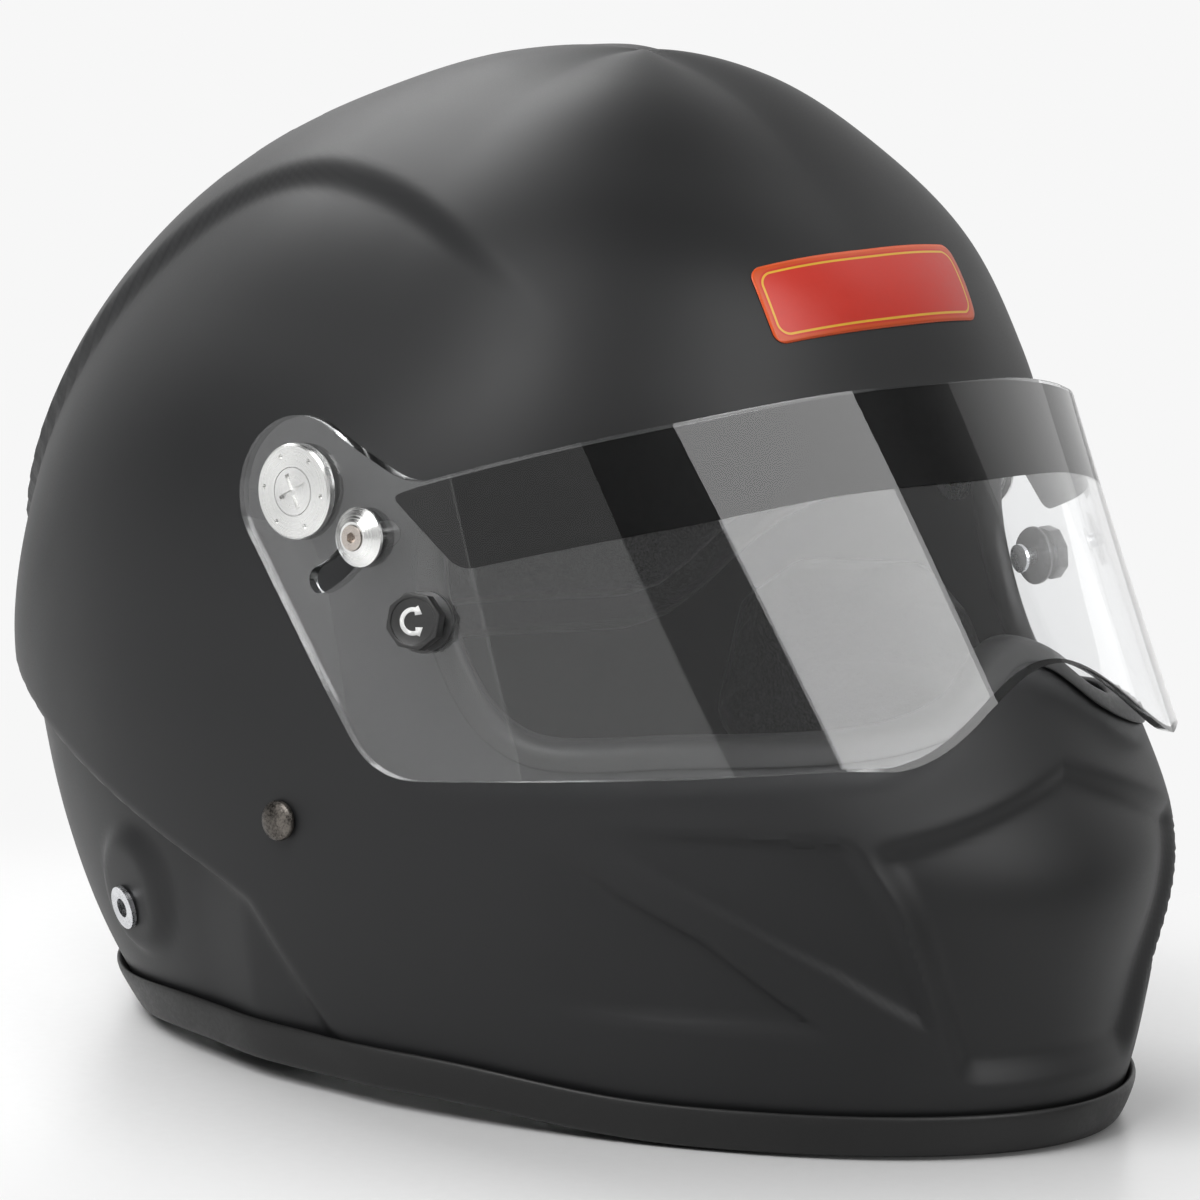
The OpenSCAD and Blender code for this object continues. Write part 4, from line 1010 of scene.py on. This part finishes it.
def post_frame(side):
    """Foot of a post on the sheet, its axis, and the directions forward and up across it"""
    y, z = POST
    step = 5
    spot = Vector((sheet_x(y, z), y, z))
    fall_y = sheet_x(y - step, z) - sheet_x(y + step, z)
    fall_z = sheet_x(y, z - step) - sheet_x(y, z + step)
    axis = Vector((2 * step, fall_y, fall_z)).normalized()
    ahead = Vector((0, -1, 0))
    ahead = (ahead - axis * ahead.dot(axis)).normalized()
    up = Vector((0, 0, 1))
    up = (up - axis * up.dot(axis) - ahead * up.dot(ahead)).normalized()
    flip = Matrix.Diagonal((side, 1, 1))
    return flip @ spot, flip @ axis, flip @ ahead, flip @ up


def sheet_line(z, out, step):
    """The sheet's outer face at one height, from one straight side round to the other"""
    count = int(180 / step)
    line = [sheet_at(i * step, z, out) for i in range(count + 1)]
    first, last = line[0], line[-1]
    tail, back = (
        [Vector((end.x, end.y + (SHEET_END - end.y) * k, z)) for k in SIDE_SHARES]
        for end in (first, last)
    )
    return [*reversed(tail), *line, *back]


def sheet_mesh(out=0.0, step=6):
    """The whole sheet before its outline is cut"""
    rise = (SHEET_TOP - SHEET_LOW) / (SHEET_ROWS - 1)
    lines = [sheet_line(SHEET_LOW + rise * row, out, step) for row in range(SHEET_ROWS)]
    across, up = len(lines[0]) - 1, SHEET_ROWS - 1
    bm = bmesh.new()
    bmesh.ops.create_grid(bm, x_segments=across, y_segments=up, size=1)
    for v in bm.verts:
        v.co = lines[round((v.co.y + 1) / 2 * up)][round((v.co.x + 1) / 2 * across)]
    return bm


def touch(hub, radius, point, side):
    """Where a line from an outside point touches a circle"""
    v = point - hub
    a = math.atan2(v.y, v.x) + side * math.acos(radius / v.length)
    return hub + Vector((math.cos(a), math.sin(a))) * radius


def shield_outline():
    """Outline of the shield in side view: its edges, and the lobe round the pivot"""
    upper = touch(PIVOT, LOBE_RADIUS, Vector(SHIELD_TOP[0][:2]), -1)
    lower = touch(PIVOT, LOBE_RADIUS, Vector(SHIELD_FOOT[-1][:2]), 1)
    first = math.atan2(lower.y - PIVOT.y, lower.x - PIVOT.x)
    last = math.atan2(upper.y - PIVOT.y, upper.x - PIVOT.x)
    if last < first:
        last += 2 * math.pi
    lobe = [
        PIVOT + Vector((math.cos(a), math.sin(a))) * LOBE_RADIUS
        for a in (first + (last - first) * k / LOBE_STEPS for k in range(1, LOBE_STEPS))
    ]
    front = [(SHIELD_FRONT, SHIELD_TOP[-1][1], 0), (SHIELD_FRONT, SHIELD_FOOT[0][1], 0)]
    return rounded([(*upper, 0), *SHIELD_TOP, *front, *SHIELD_FOOT, (*lower, 0)]) + lobe


def film_outline():
    """Outline of the strip in side view, a little within the shield's top edge"""
    head = [(y, z - FILM_MARGIN, radius) for y, z, radius in SHIELD_TOP]
    front = [(SHIELD_FRONT, head[-1][1], 0), (SHIELD_FRONT, FILM_FOOT[-1][1], 0)]
    head[0] = (*head[0][:2], FILM_CORNER)
    return rounded([*head, *front, *reversed(FILM_FOOT)])


def arc(centre, radius, start, end, steps=16):
    """Points of an arc between two angles in radians, both ends included"""
    turns = [start + (end - start) * k / steps for k in range(steps + 1)]
    return [centre + Vector((math.cos(a), math.sin(a))) * radius for a in turns]


def slot_outline():
    """The arc that the stop runs in, in side view"""
    start = math.radians(180 + STOP_ANGLE)
    end = start + math.radians(LIFT_ANGLE)
    return [
        *arc(PIVOT, STOP_RADIUS + SLOT_HALF, start, end),
        *arc(stop_place(LIFT_ANGLE), SLOT_HALF, end, end + math.pi)[1:],
        *arc(PIVOT, STOP_RADIUS - SLOT_HALF, end, start)[1:],
        *arc(stop_place(), SLOT_HALF, start + math.pi, start + 2 * math.pi)[1:-1],
    ]


def nose_outline():
    """The notch over the nose, in front view, with its foot below the sheet"""
    count = round(2 * NOSE_HALF / NOSE_STEP)
    wave = [0.5 - 0.5 * math.cos(2 * math.pi * k / count) for k in range(count + 1)]
    foot = NOSE_FOOT - NOSE_DEPTH
    arch = [
        (NOSE_STEP * k - NOSE_HALF, NOSE_FOOT + NOSE_RISE * rise) for k, rise in enumerate(wave)
    ]
    return [(-NOSE_HALF, foot), *arch, (NOSE_HALF, foot)]


class HELMET_OT_shield(bpy.types.Operator):
    """Builds the clear shield with its polished edges, and the strip along its top"""

    bl_idname = "helmet.shield"
    bl_label = "Shield and Strip"

    def execute(self, context):
        s = context.scene.helmet_shield
        clear = clear_plastic("Clear Sheet", tuple(s.tint), 0.0)
        edge = clear_plastic("Polished Edge", (0.93, 0.95, 0.96), 0.12)
        slots = [clear, edge]
        piece = refined(finished(sheet_mesh(), "Shield_Clear", slots), FINE_LEVELS)
        thickened(piece, s.thickness)
        cut(piece, [along_x(shield_outline(), -CUT_REACH, CUT_REACH, slots)], "INTERSECT")
        tools = [prism(
            nose_outline(), lambda x, z: Vector((x, CUT_AHEAD, z)), (0, -CUT_AHEAD, 0),
            index=1, materials=slots,
        )]
        for side in (-1, 1):
            for outline in (circle(PIVOT, PIVOT_HOLE), slot_outline()):
                tools.append(along_x(outline, side * CUT_SIDE, side * CUT_REACH, slots))
            spot, axis, ahead, up = post_frame(side)
            foot = spot - axis * POST_HOLE_REACH
            tools.append(prism(
                circle((0, 0), POST_HOLE, 32), lambda a, b: foot + ahead * a + up * b,
                axis * 2 * POST_HOLE_REACH, index=1, materials=slots,
            ))
        cut(piece, tools)
        sharpen(piece, SHEET_SHARP)
        placed(piece, "shield", "clear_sheet", "shield")
        self.strip(context)
        return {"FINISHED"}

    def strip(self, context):
        colour = tuple(context.scene.helmet_shield.strip)
        gloss = mottled(
            "Glossy Strip", colour, [c * 1.5 for c in colour], roughness=0.42,
            roughness_spread=0.04, fine=400.0, bump=0.0, Specular_IOR_Level=0.06,
        )
        piece = refined(finished(sheet_mesh(FILM_OUT), "Top_Strip", [gloss]), FINE_LEVELS)
        thickened(piece, FILM_OUT * MM, 1)
        cut(piece, [along_x(film_outline(), -CUT_REACH, CUT_REACH, [gloss])], "INTERSECT")
        sharpen(piece, SHARP)
        placed(piece, "shield", "dark_film", "shade_film")


class HELMET_OT_lining(bpy.types.Operator):
    """Builds the foam liners and the pads with their brushed pile"""

    bl_idname = "helmet.lining"
    bl_label = "Linings and Pads"

    def execute(self, context):
        s = context.scene.helmet_lining
        pile = brushed_pile("Brushed Grey Pile", tuple(s.pile))
        foam = mottled(
            "Moulded Foam", tuple(s.foam), [c * 2 for c in s.foam], roughness=0.75,
            fine=700.0, broad=90.0, bump=1e-4,
        )
        liner = cad_copy("impact_liner", "Impact_Foam", [foam, pile], "foam")
        middle = MIDDLE * MM
        for polygon in liner.data.polygons:
            polygon.material_index = 1 if polygon.normal.dot(polygon.center - middle) < 0 else 0
        cad_copy("chin_liner", "Chin_Foam", [foam], "foam")
        for node_name, name in (
            ("crown_pad", "Crown_Padding"), ("cheek_pad_left", "Cheek_Padding_Left"),
            ("cheek_pad_right", "Cheek_Padding_Right"), ("neck_roll", "Neck_Padding"),
        ):
            piece = cad_copy(node_name, name, [pile], "lining")
        return {"FINISHED"}


class HELMET_OT_strap(bpy.types.Operator):
    """Dresses the chin strap, its rings, plates and snap"""

    bl_idname = "helmet.strap"
    bl_label = "Chin Strap"

    def execute(self, context):
        web = webbing("Strap Webbing", tuple(context.scene.helmet_lining.strap))
        steel = mottled(
            "Bright Steel", (0.62, 0.61, 0.6), (0.7, 0.69, 0.68), roughness=0.25,
            roughness_spread=0.15, fine=2500.0, broad=160.0, bump=4e-6, Metallic=1.0,
        )
        dress("chin_strap_left", web)
        dress("chin_strap_right", web)
        for name in ("d_ring_upper", "d_ring_lower", "strap_snap"):
            dress(name, steel)
        for side in ("left", "right"):
            dress(f"anchor_plate_{side}", steel)
        return {"FINISHED"}


def dress(name, material):
    """Gives a CAD node its finish"""
    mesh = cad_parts[name].data
    mesh.materials.clear()
    mesh.materials.append(material)


# Post, in millimetres: width of its head over two flats, and as radius, low end and high end its
# foot and its neck; the head's ends, its sunk face and the height of the print on that
POST_HEAD = 13.2
POST_FOOT, POST_NECK = (7.6, 0.5, 2.5), (5, 2, 6)
POST_HEAD_ENDS, POST_SUNK, POST_PRINT = (5.5, 9.5), (5.7, 9.1, 10), (9.05, 9.2)
POST_BEVEL = 0.35


def turn_arrow(radius=2.9, width=1.1, start=80, end=305, head=2.3, notch=0.2, tip=34, steps=24):
    """Outline of an arc with an arrowhead at each end; angles are in degrees"""
    def at(angle, r):
        return (r * math.cos(math.radians(angle)), r * math.sin(math.radians(angle)))

    turns = [start + (end - start) * k / steps for k in range(steps + 1)]
    outer = [at(a, radius + width / 2) for a in turns]
    inner = [at(a, radius - width / 2) for a in reversed(turns)]
    wide, narrow = radius + head / 2, radius - head / 2 - notch
    first = [at(start, narrow), at(start - tip, radius), at(start, wide)]
    last = [at(end, wide), at(end + tip, radius), at(end, narrow)]
    return [*first, *outer[1:-1], *last, *inner[1:-1]]


class HELMET_OT_hardware(bpy.types.Operator):
    """Dresses the pivots, stops, posts, rivets and anchors"""

    bl_idname = "helmet.hardware"
    bl_label = "Hardware"

    def execute(self, context):
        colour = tuple(context.scene.helmet_hardware.aluminium)
        pivot = (0, PIVOT.x * MM, PIVOT.y * MM)
        stop = (0, stop_place().x * MM, stop_place().y * MM)
        disc = turned_metal("Turned Disc", pivot, colour)
        head = turned_metal("Turned Screw Head", pivot, colour, roughness=0.3, pitch=0.00025)
        cone = turned_metal("Turned Cone", stop, colour, roughness=0.24)
        steel = mottled(
            "Socket Steel", (0.42, 0.38, 0.35), (0.55, 0.5, 0.46), roughness=0.3,
            roughness_spread=0.2, fine=3000.0, broad=260.0, bump=6e-6, Metallic=1.0,
        )
        dark = mottled(
            "Dark Rivet", (0.055, 0.05, 0.045), (0.16, 0.145, 0.13), roughness=0.38,
            roughness_spread=0.25, fine=1800.0, broad=260.0, bump=3e-5, Metallic=0.9,
        )
        zinc = mottled(
            "Bright Insert", (0.55, 0.56, 0.58), (0.72, 0.73, 0.75), roughness=0.3,
            roughness_spread=0.2, fine=2200.0, broad=200.0, bump=1e-5, Metallic=1.0,
        )
        black = mottled(
            "Black Moulding", (0.012, 0.012, 0.012), (0.018, 0.018, 0.018), roughness=0.33,
            fine=1800.0, broad=60.0, bump=8e-6,
        )
        finishes = {
            "pivot_disc": disc, "pivot_screw": head, "pivot_bushing": black, "pivot_nut": zinc,
            "stop_disc": cone, "stop_screw": steel, "stop_nut": zinc,
            "post_screw": zinc, "strap_rivet": dark, "restraint_anchor": zinc,
        }
        for name, material in finishes.items():
            for side in ("left", "right"):
                dress(f"{name}_{side}", material)
        screen = mottled(
            "Screen Mesh", (0.006, 0.006, 0.006), (0.012, 0.012, 0.012), roughness=0.6,
            roughness_spread=0.2, fine=2600.0,
        )
        dress("vent_mesh_upper", screen)
        dress("vent_mesh_lower", screen)
        white = mottled(
            "White Print", (0.8, 0.8, 0.79), (0.86, 0.86, 0.85), roughness=0.4,
            roughness_spread=0.05, bump=0.0,
        )
        for side, word in ((1, "Left"), (-1, "Right")):
            self.post(side, word, [black, white])
        return {"FINISHED"}

    def post(self, side, word, materials):
        """A post: foot, neck and eight sided head with a sunk face that carries a turn arrow"""
        spot, axis, ahead, up = post_frame(side)

        def disc(outline, low, high, index=0):
            foot = spot + axis * low
            return prism(
                outline, lambda a, b: foot + ahead * a + up * b, axis * (high - low),
                index=index, materials=materials,
            )

        def round_disc(radius, low, high, count=64):
            return disc(circle((0, 0), radius, count), low, high)

        corner = POST_HEAD / 2 / math.cos(math.pi / 8)
        turns = [(2 * k + 1) * math.pi / 8 for k in range(8)]
        eight = [(corner * math.cos(a), corner * math.sin(a)) for a in turns]
        head = cut(disc(eight, *POST_HEAD_ENDS), [round_disc(*POST_SUNK)])
        body = joined([head, round_disc(*POST_FOOT), round_disc(*POST_NECK, 48)])
        sharpen(bevelled(body, POST_BEVEL), SHARP)
        piece = joined([body, disc(turn_arrow(), *POST_PRINT, 1)])
        piece.data.name = piece.name = f"Film_Post_{word}"
        placed(piece, f"post_{word.lower()}", "black_plastic", f"film_post_{word.lower()}")


# Corners of the label as azimuth and elevation, and the bow of its long edges in degrees
LABEL_CORNERS = ((-27.2, 35.6), (24.1, 37.3), (-30.6, 45.0), (28.1, 47.1))
LABEL_BOW = (2.4, 3.6)
# Its size, corner radius, lift over the paint and thickness in millimetres, and its faces
LABEL_SIZE, LABEL_RADIUS = (81, 21), 3.2
LABEL_LIFT, LABEL_WALL = 0.15, 0.12
LABEL_FACES = (80, 24)
# Border line: its inset, and half its width with its soft edge; and where the dark edge starts
LABEL_INSET, LABEL_LINE, LABEL_RIM = 2.2, (0.22, 0.36), (0.5, 1.1)
LABEL_LINE_COLOUR = (0.86, 0.5, 0.03, 1)
LABEL_RIM_COLOUR = (0.72, 0.085, 0.008, 1)


def label_point(u, v, out):
    """Point of the label at shares of its length and height from -1 to 1"""
    s, t = (u + 1) / 2, (v + 1) / 2
    low = [a + (b - a) * s for a, b in zip(LABEL_CORNERS[0], LABEL_CORNERS[1])]
    high = [a + (b - a) * s for a, b in zip(LABEL_CORNERS[2], LABEL_CORNERS[3])]
    az, el = (a + (b - a) * t for a, b in zip(low, high))
    return skin(az, el + (LABEL_BOW[0] + (LABEL_BOW[1] - LABEL_BOW[0]) * t) * (1 - u * u), out)


def round_corner(x, y, half, radius):
    """Moves a point of a rectangle so that the rectangle's corners become arcs"""
    p, q = (abs(x) - half[0] + radius) / radius, (abs(y) - half[1] + radius) / radius
    if p > 0 and q > 0:
        p, q = p * math.sqrt(1 - q * q / 2), q * math.sqrt(1 - p * p / 2)
        x = math.copysign(half[0] - radius + p * radius, x)
        y = math.copysign(half[1] - radius + q * radius, y)
    return x, y


class HELMET_OT_label(bpy.types.Operator):
    """Builds the plain label on the forehead, with its thin border line"""

    bl_idname = "helmet.label"
    bl_label = "Forehead Label"

    def execute(self, context):
        colour = tuple(context.scene.helmet_hardware.label)
        half = (LABEL_SIZE[0] / 2, LABEL_SIZE[1] / 2)
        bm = bmesh.new()
        uv = bm.loops.layers.uv.new("UVMap")
        bmesh.ops.create_grid(bm, x_segments=LABEL_FACES[0], y_segments=LABEL_FACES[1], size=1)
        for v in bm.verts:
            v.co.x, v.co.y = round_corner(v.co.x * half[0], v.co.y * half[1], half, LABEL_RADIUS)
        for face in bm.faces:
            for loop in face.loops:
                loop[uv].uv = (loop.vert.co.x * MM, loop.vert.co.y * MM)
        for v in bm.verts:
            v.co = label_point(v.co.x / half[0], v.co.y / half[1], LABEL_LIFT)
        piece = finished(bm, "Forehead_Label", [self.printed(colour, half)])
        thickened(piece, LABEL_WALL * MM, 1)
        placed(piece, "helmet")
        return {"FINISHED"}

    def printed(self, colour, half):
        """Printed film: a plain field, a thin line inside its edge and a darker edge"""
        material, tree, shader = new_material("Printed Label")
        flat = node(tree, "ShaderNodeTexCoord").outputs["UV"]
        parts = node(tree, "ShaderNodeSeparateXYZ", {"Vector": flat}).outputs
        sides = []
        for axis, reach_out in zip("XY", half):
            straight = (reach_out - LABEL_INSET - LABEL_RADIUS) * MM
            past = maths(tree, "SUBTRACT", maths(tree, "ABSOLUTE", parts[axis]), straight)
            sides.append(maths(tree, "MAXIMUM", past, 0.0))
        away = length(tree, *sides)
        off = maths(tree, "ABSOLUTE", maths(tree, "SUBTRACT", away, LABEL_RADIUS * MM))
        line = spread(tree, off, *(k * MM for k in LABEL_LINE), 1.0, 0.0)
        rim = spread(tree, away, *((LABEL_RADIUS + k) * MM for k in LABEL_RIM))
        grain = noise(tree, coordinates(tree), 700.0, 2.0)
        field = colour_mix(tree, grain, lighter(colour, 0.94), (*colour, 1))
        tone = colour_mix(tree, rim, field, LABEL_RIM_COLOUR)
        tone = colour_mix(tree, line, tone, LABEL_LINE_COLOUR)
        tree.links.new(tone, shader.inputs["Base Color"])
        tree.links.new(spread(tree, grain, 0.3, 0.7, 0.3, 0.36), shader.inputs["Roughness"])
        set_plain(shader, Specular_IOR_Level=0.4)
        return material


# Studio

# The camera's place in degrees, its target in metres, and where the picture shows that target
CAMERA_TURN, CAMERA_RISE, CAMERA_ROLL = 50.5, 8.0, 3.6
CAMERA_TARGET = Vector((0, -0.003, 0.126))
# Pixels per millimetre at the target, the picture's width in pixels, and the target in it
PICTURE_SCALE, PICTURE_SIZE, TARGET_PIXEL = 3.88, 1200, (601, 556)
SENSOR = 36
CLIP = (0.05, 50)
# Brightness of the backdrop, and where the floor starts and ends its fade to it, in metres
BACKDROP = 0.93
FLOOR_FADE = (0.13, 0.32)
FLOOR_HALF, FLOOR_DROP = 6, 0.0004
# Light from all round: its share from below, and the heights of a ray over which it grows
AMBIENT_LEAST, AMBIENT_HEIGHTS = 0.2, (-0.3, 0.9)
# How far a ray has to go away from the camera to meet the bright paper behind the helmet
PAPER_TURN = (0.1, 0.95)
# Soft boxes: name, place, point that it faces, size, and power. Cards show in reflections only.
LAMPS = (
    ("Key", (-1.5, -0.1, 1.6), (0, 0, 0.15), (1.3, 1.3), 35),
    ("Rim", (0.5, 1.6, 1.8), (0, 0, 0.2), (1.4, 1.0), 32),
    ("Front Card", (0.37, -2.08, 1.5), (0, -0.05, 0.15), (1.75, 1.7), 42),
    ("Side Card", (-1.93, 0.52, 0.6), (0, 0, 0.15), (2.2, 1.5), 10),
    ("Camera Card", (-2.16, -1.46, 0.65), (0, 0, 0.15), (2.0, 1.7), 7),
    ("Far Card", (1.97, -0.35, 1.2), (0, 0, 0.15), (1.2, 1.6), 2.5),
)


def seen_rays(tree):
    """1 for rays that the camera sends, straight or through the clear sheet, and 0 for others"""
    path = node(tree, "ShaderNodeLightPath").outputs
    first = maths(tree, "LESS_THAN", path["Diffuse Depth"], 0.5)
    through = product(tree, path["Is Transmission Ray"], first)
    return maths(tree, "MAXIMUM", path["Is Camera Ray"], through)


class HELMET_OT_studio(bpy.types.Operator):
    """Builds the floor, the lamps, the world and the camera"""

    bl_idname = "helmet.studio"
    bl_label = "Studio"

    def execute(self, context):
        self.floor()
        self.world(context.scene.helmet_studio.ambient)
        self.camera(context)
        for row in LAMPS:
            lamp(*row)
        return {"FINISHED"}

    def floor(self):
        """A white floor that keeps the helmet's shadow and fades to the backdrop away from it"""
        white = mottled(
            "White Floor", (0.86, 0.86, 0.86), (0.88, 0.88, 0.88), roughness=0.3,
            roughness_spread=0.02, fine=300.0, broad=3.0, bump=0.0,
        )
        tree = white.node_tree
        away = node(
            tree, "ShaderNodeVectorMath", {0: coordinates(tree)}, operation="LENGTH"
        ).outputs["Value"]
        share = product(tree, spread(tree, away, *FLOOR_FADE), seen_rays(tree))
        bright = node(tree, "ShaderNodeEmission", {"Strength": BACKDROP})
        mix = node(tree, "ShaderNodeMixShader", {"Fac": share})
        tree.links.new(tree.nodes["Principled BSDF"].outputs["BSDF"], mix.inputs[1])
        tree.links.new(bright.outputs["Emission"], mix.inputs[2])
        tree.links.new(mix.outputs["Shader"], tree.nodes["Material Output"].inputs["Surface"])
        bm = bmesh.new()
        bmesh.ops.create_grid(bm, x_segments=2, y_segments=2, size=FLOOR_HALF)
        bmesh.ops.translate(bm, vec=(0, 0, -FLOOR_DROP), verts=bm.verts)
        piece = finished(bm, "Floor", [white], scale=1)

    def world(self, ambient):
        """A white backdrop for the camera, and soft light and bright paper for other rays"""
        world = bpy.data.worlds.new("Studio")
        bpy.context.scene.world = world
        world.use_nodes = True
        tree = world.node_tree
        back = tree.nodes["Background"]
        back.inputs["Color"].default_value = (1, 1, 1, 1)
        seen = seen_rays(tree)
        ways = node(tree, "ShaderNodeTexCoord").outputs["Generated"]
        height = node(tree, "ShaderNodeSeparateXYZ", {"Vector": ways}).outputs["Z"]
        turn = math.radians(CAMERA_TURN)
        behind = node(
            tree, "ShaderNodeVectorMath", {0: ways, 1: (math.sin(turn), math.cos(turn), 0)},
            operation="DOT_PRODUCT",
        ).outputs["Value"]
        around = spread(tree, height, *AMBIENT_HEIGHTS, ambient * AMBIENT_LEAST, ambient)
        paper = spread(tree, behind, *PAPER_TURN, 0.0, BACKDROP)
        glossy = node(tree, "ShaderNodeLightPath").outputs["Is Glossy Ray"]
        lit = maths(tree, "MAXIMUM", product(tree, around, opposite(tree, glossy)), paper)
        unseen = product(tree, lit, opposite(tree, seen))
        strength = maths(tree, "ADD", product(tree, seen, BACKDROP), unseen)
        tree.links.new(strength, back.inputs["Strength"])

    def camera(self, context):
        """The photograph's camera"""
        settings = context.scene.helmet_studio
        turn, rise = math.radians(CAMERA_TURN), math.radians(CAMERA_RISE)
        level = Vector((-math.sin(turn), -math.cos(turn), 0))
        back = level * math.cos(rise) + Vector((0, 0, math.sin(rise)))
        data = bpy.data.cameras.new("Camera")
        data.sensor_width = SENSOR
        data.lens = PICTURE_SCALE * settings.distance / MM * data.sensor_width / PICTURE_SIZE
        data.shift_x = (PICTURE_SIZE / 2 - TARGET_PIXEL[0]) / PICTURE_SIZE
        data.shift_y = (TARGET_PIXEL[1] - PICTURE_SIZE / 2) / PICTURE_SIZE
        data.clip_start, data.clip_end = CLIP
        camera = bpy.data.objects.new("Camera", data)
        bpy.context.scene.collection.objects.link(camera)
        camera.rotation_mode = "QUATERNION"
        camera.location = CAMERA_TARGET + back * settings.distance
        look = (-back).to_track_quat("-Z", "Y").to_matrix()
        roll = Matrix.Rotation(math.radians(CAMERA_ROLL), 3, "Z")
        camera.rotation_quaternion = (look @ roll).to_quaternion()
        bpy.context.scene.camera = camera


def lamp(name, place, target, size, power):
    """A rectangular soft box that faces a point"""
    data = bpy.data.lights.new(name, "AREA")
    data.shape = "RECTANGLE"
    data.size, data.size_y = size
    data.energy = power
    box = bpy.data.objects.new(name, data)
    bpy.context.scene.collection.objects.link(box)
    box.location = place
    box.rotation_mode = "QUATERNION"
    box.rotation_quaternion = (Vector(target) - Vector(place)).to_track_quat("-Z", "Y")
    box.visible_diffuse = "Card" not in name


class HELMET_PT_panel(bpy.types.Panel):
    """Lists the helmet's pieces and their settings"""

    bl_idname = "HELMET_PT_panel"
    bl_label = "Racing Helmet"
    bl_space_type = "VIEW_3D"
    bl_region_type = "UI"
    bl_category = "Helmet"

    def draw(self, context):
        for operator in OPERATORS:
            self.layout.operator(operator.bl_idname)
        for key, group in SETTINGS.items():
            column = self.layout.column(align=True)
            for name in group.__annotations__:
                column.prop(getattr(context.scene, key), name)


SETTINGS = {
    "helmet_shell": HelmetShellSettings,
    "helmet_shield": HelmetShieldSettings,
    "helmet_lining": HelmetLiningSettings,
    "helmet_hardware": HelmetHardwareSettings,
    "helmet_studio": HelmetStudioSettings,
}
OPERATORS = (
    HELMET_OT_studio, HELMET_OT_shell, HELMET_OT_rubber, HELMET_OT_shield, HELMET_OT_lining,
    HELMET_OT_strap, HELMET_OT_hardware, HELMET_OT_label,
)


def register():
    for group in SETTINGS.values():
        bpy.utils.register_class(group)
    for operator in OPERATORS:
        bpy.utils.register_class(operator)
    bpy.utils.register_class(HELMET_PT_panel)
    for key, group in SETTINGS.items():
        setattr(bpy.types.Scene, key, bpy.props.PointerProperty(type=group))


def unregister():
    for key in SETTINGS:
        delattr(bpy.types.Scene, key)
    bpy.utils.unregister_class(HELMET_PT_panel)
    for group in (*reversed(OPERATORS), *reversed(SETTINGS.values())):
        bpy.utils.unregister_class(group)


def main():
    register()
    bpy.context.scene.view_settings.view_transform = "Standard"
    for operator in OPERATORS:
        module, name = operator.bl_idname.split(".")
        if getattr(getattr(bpy.ops, module), name)() != {"FINISHED"}:
            raise RuntimeError(f"{operator.bl_idname} did not finish")


if __name__ == "__main__":
    main()
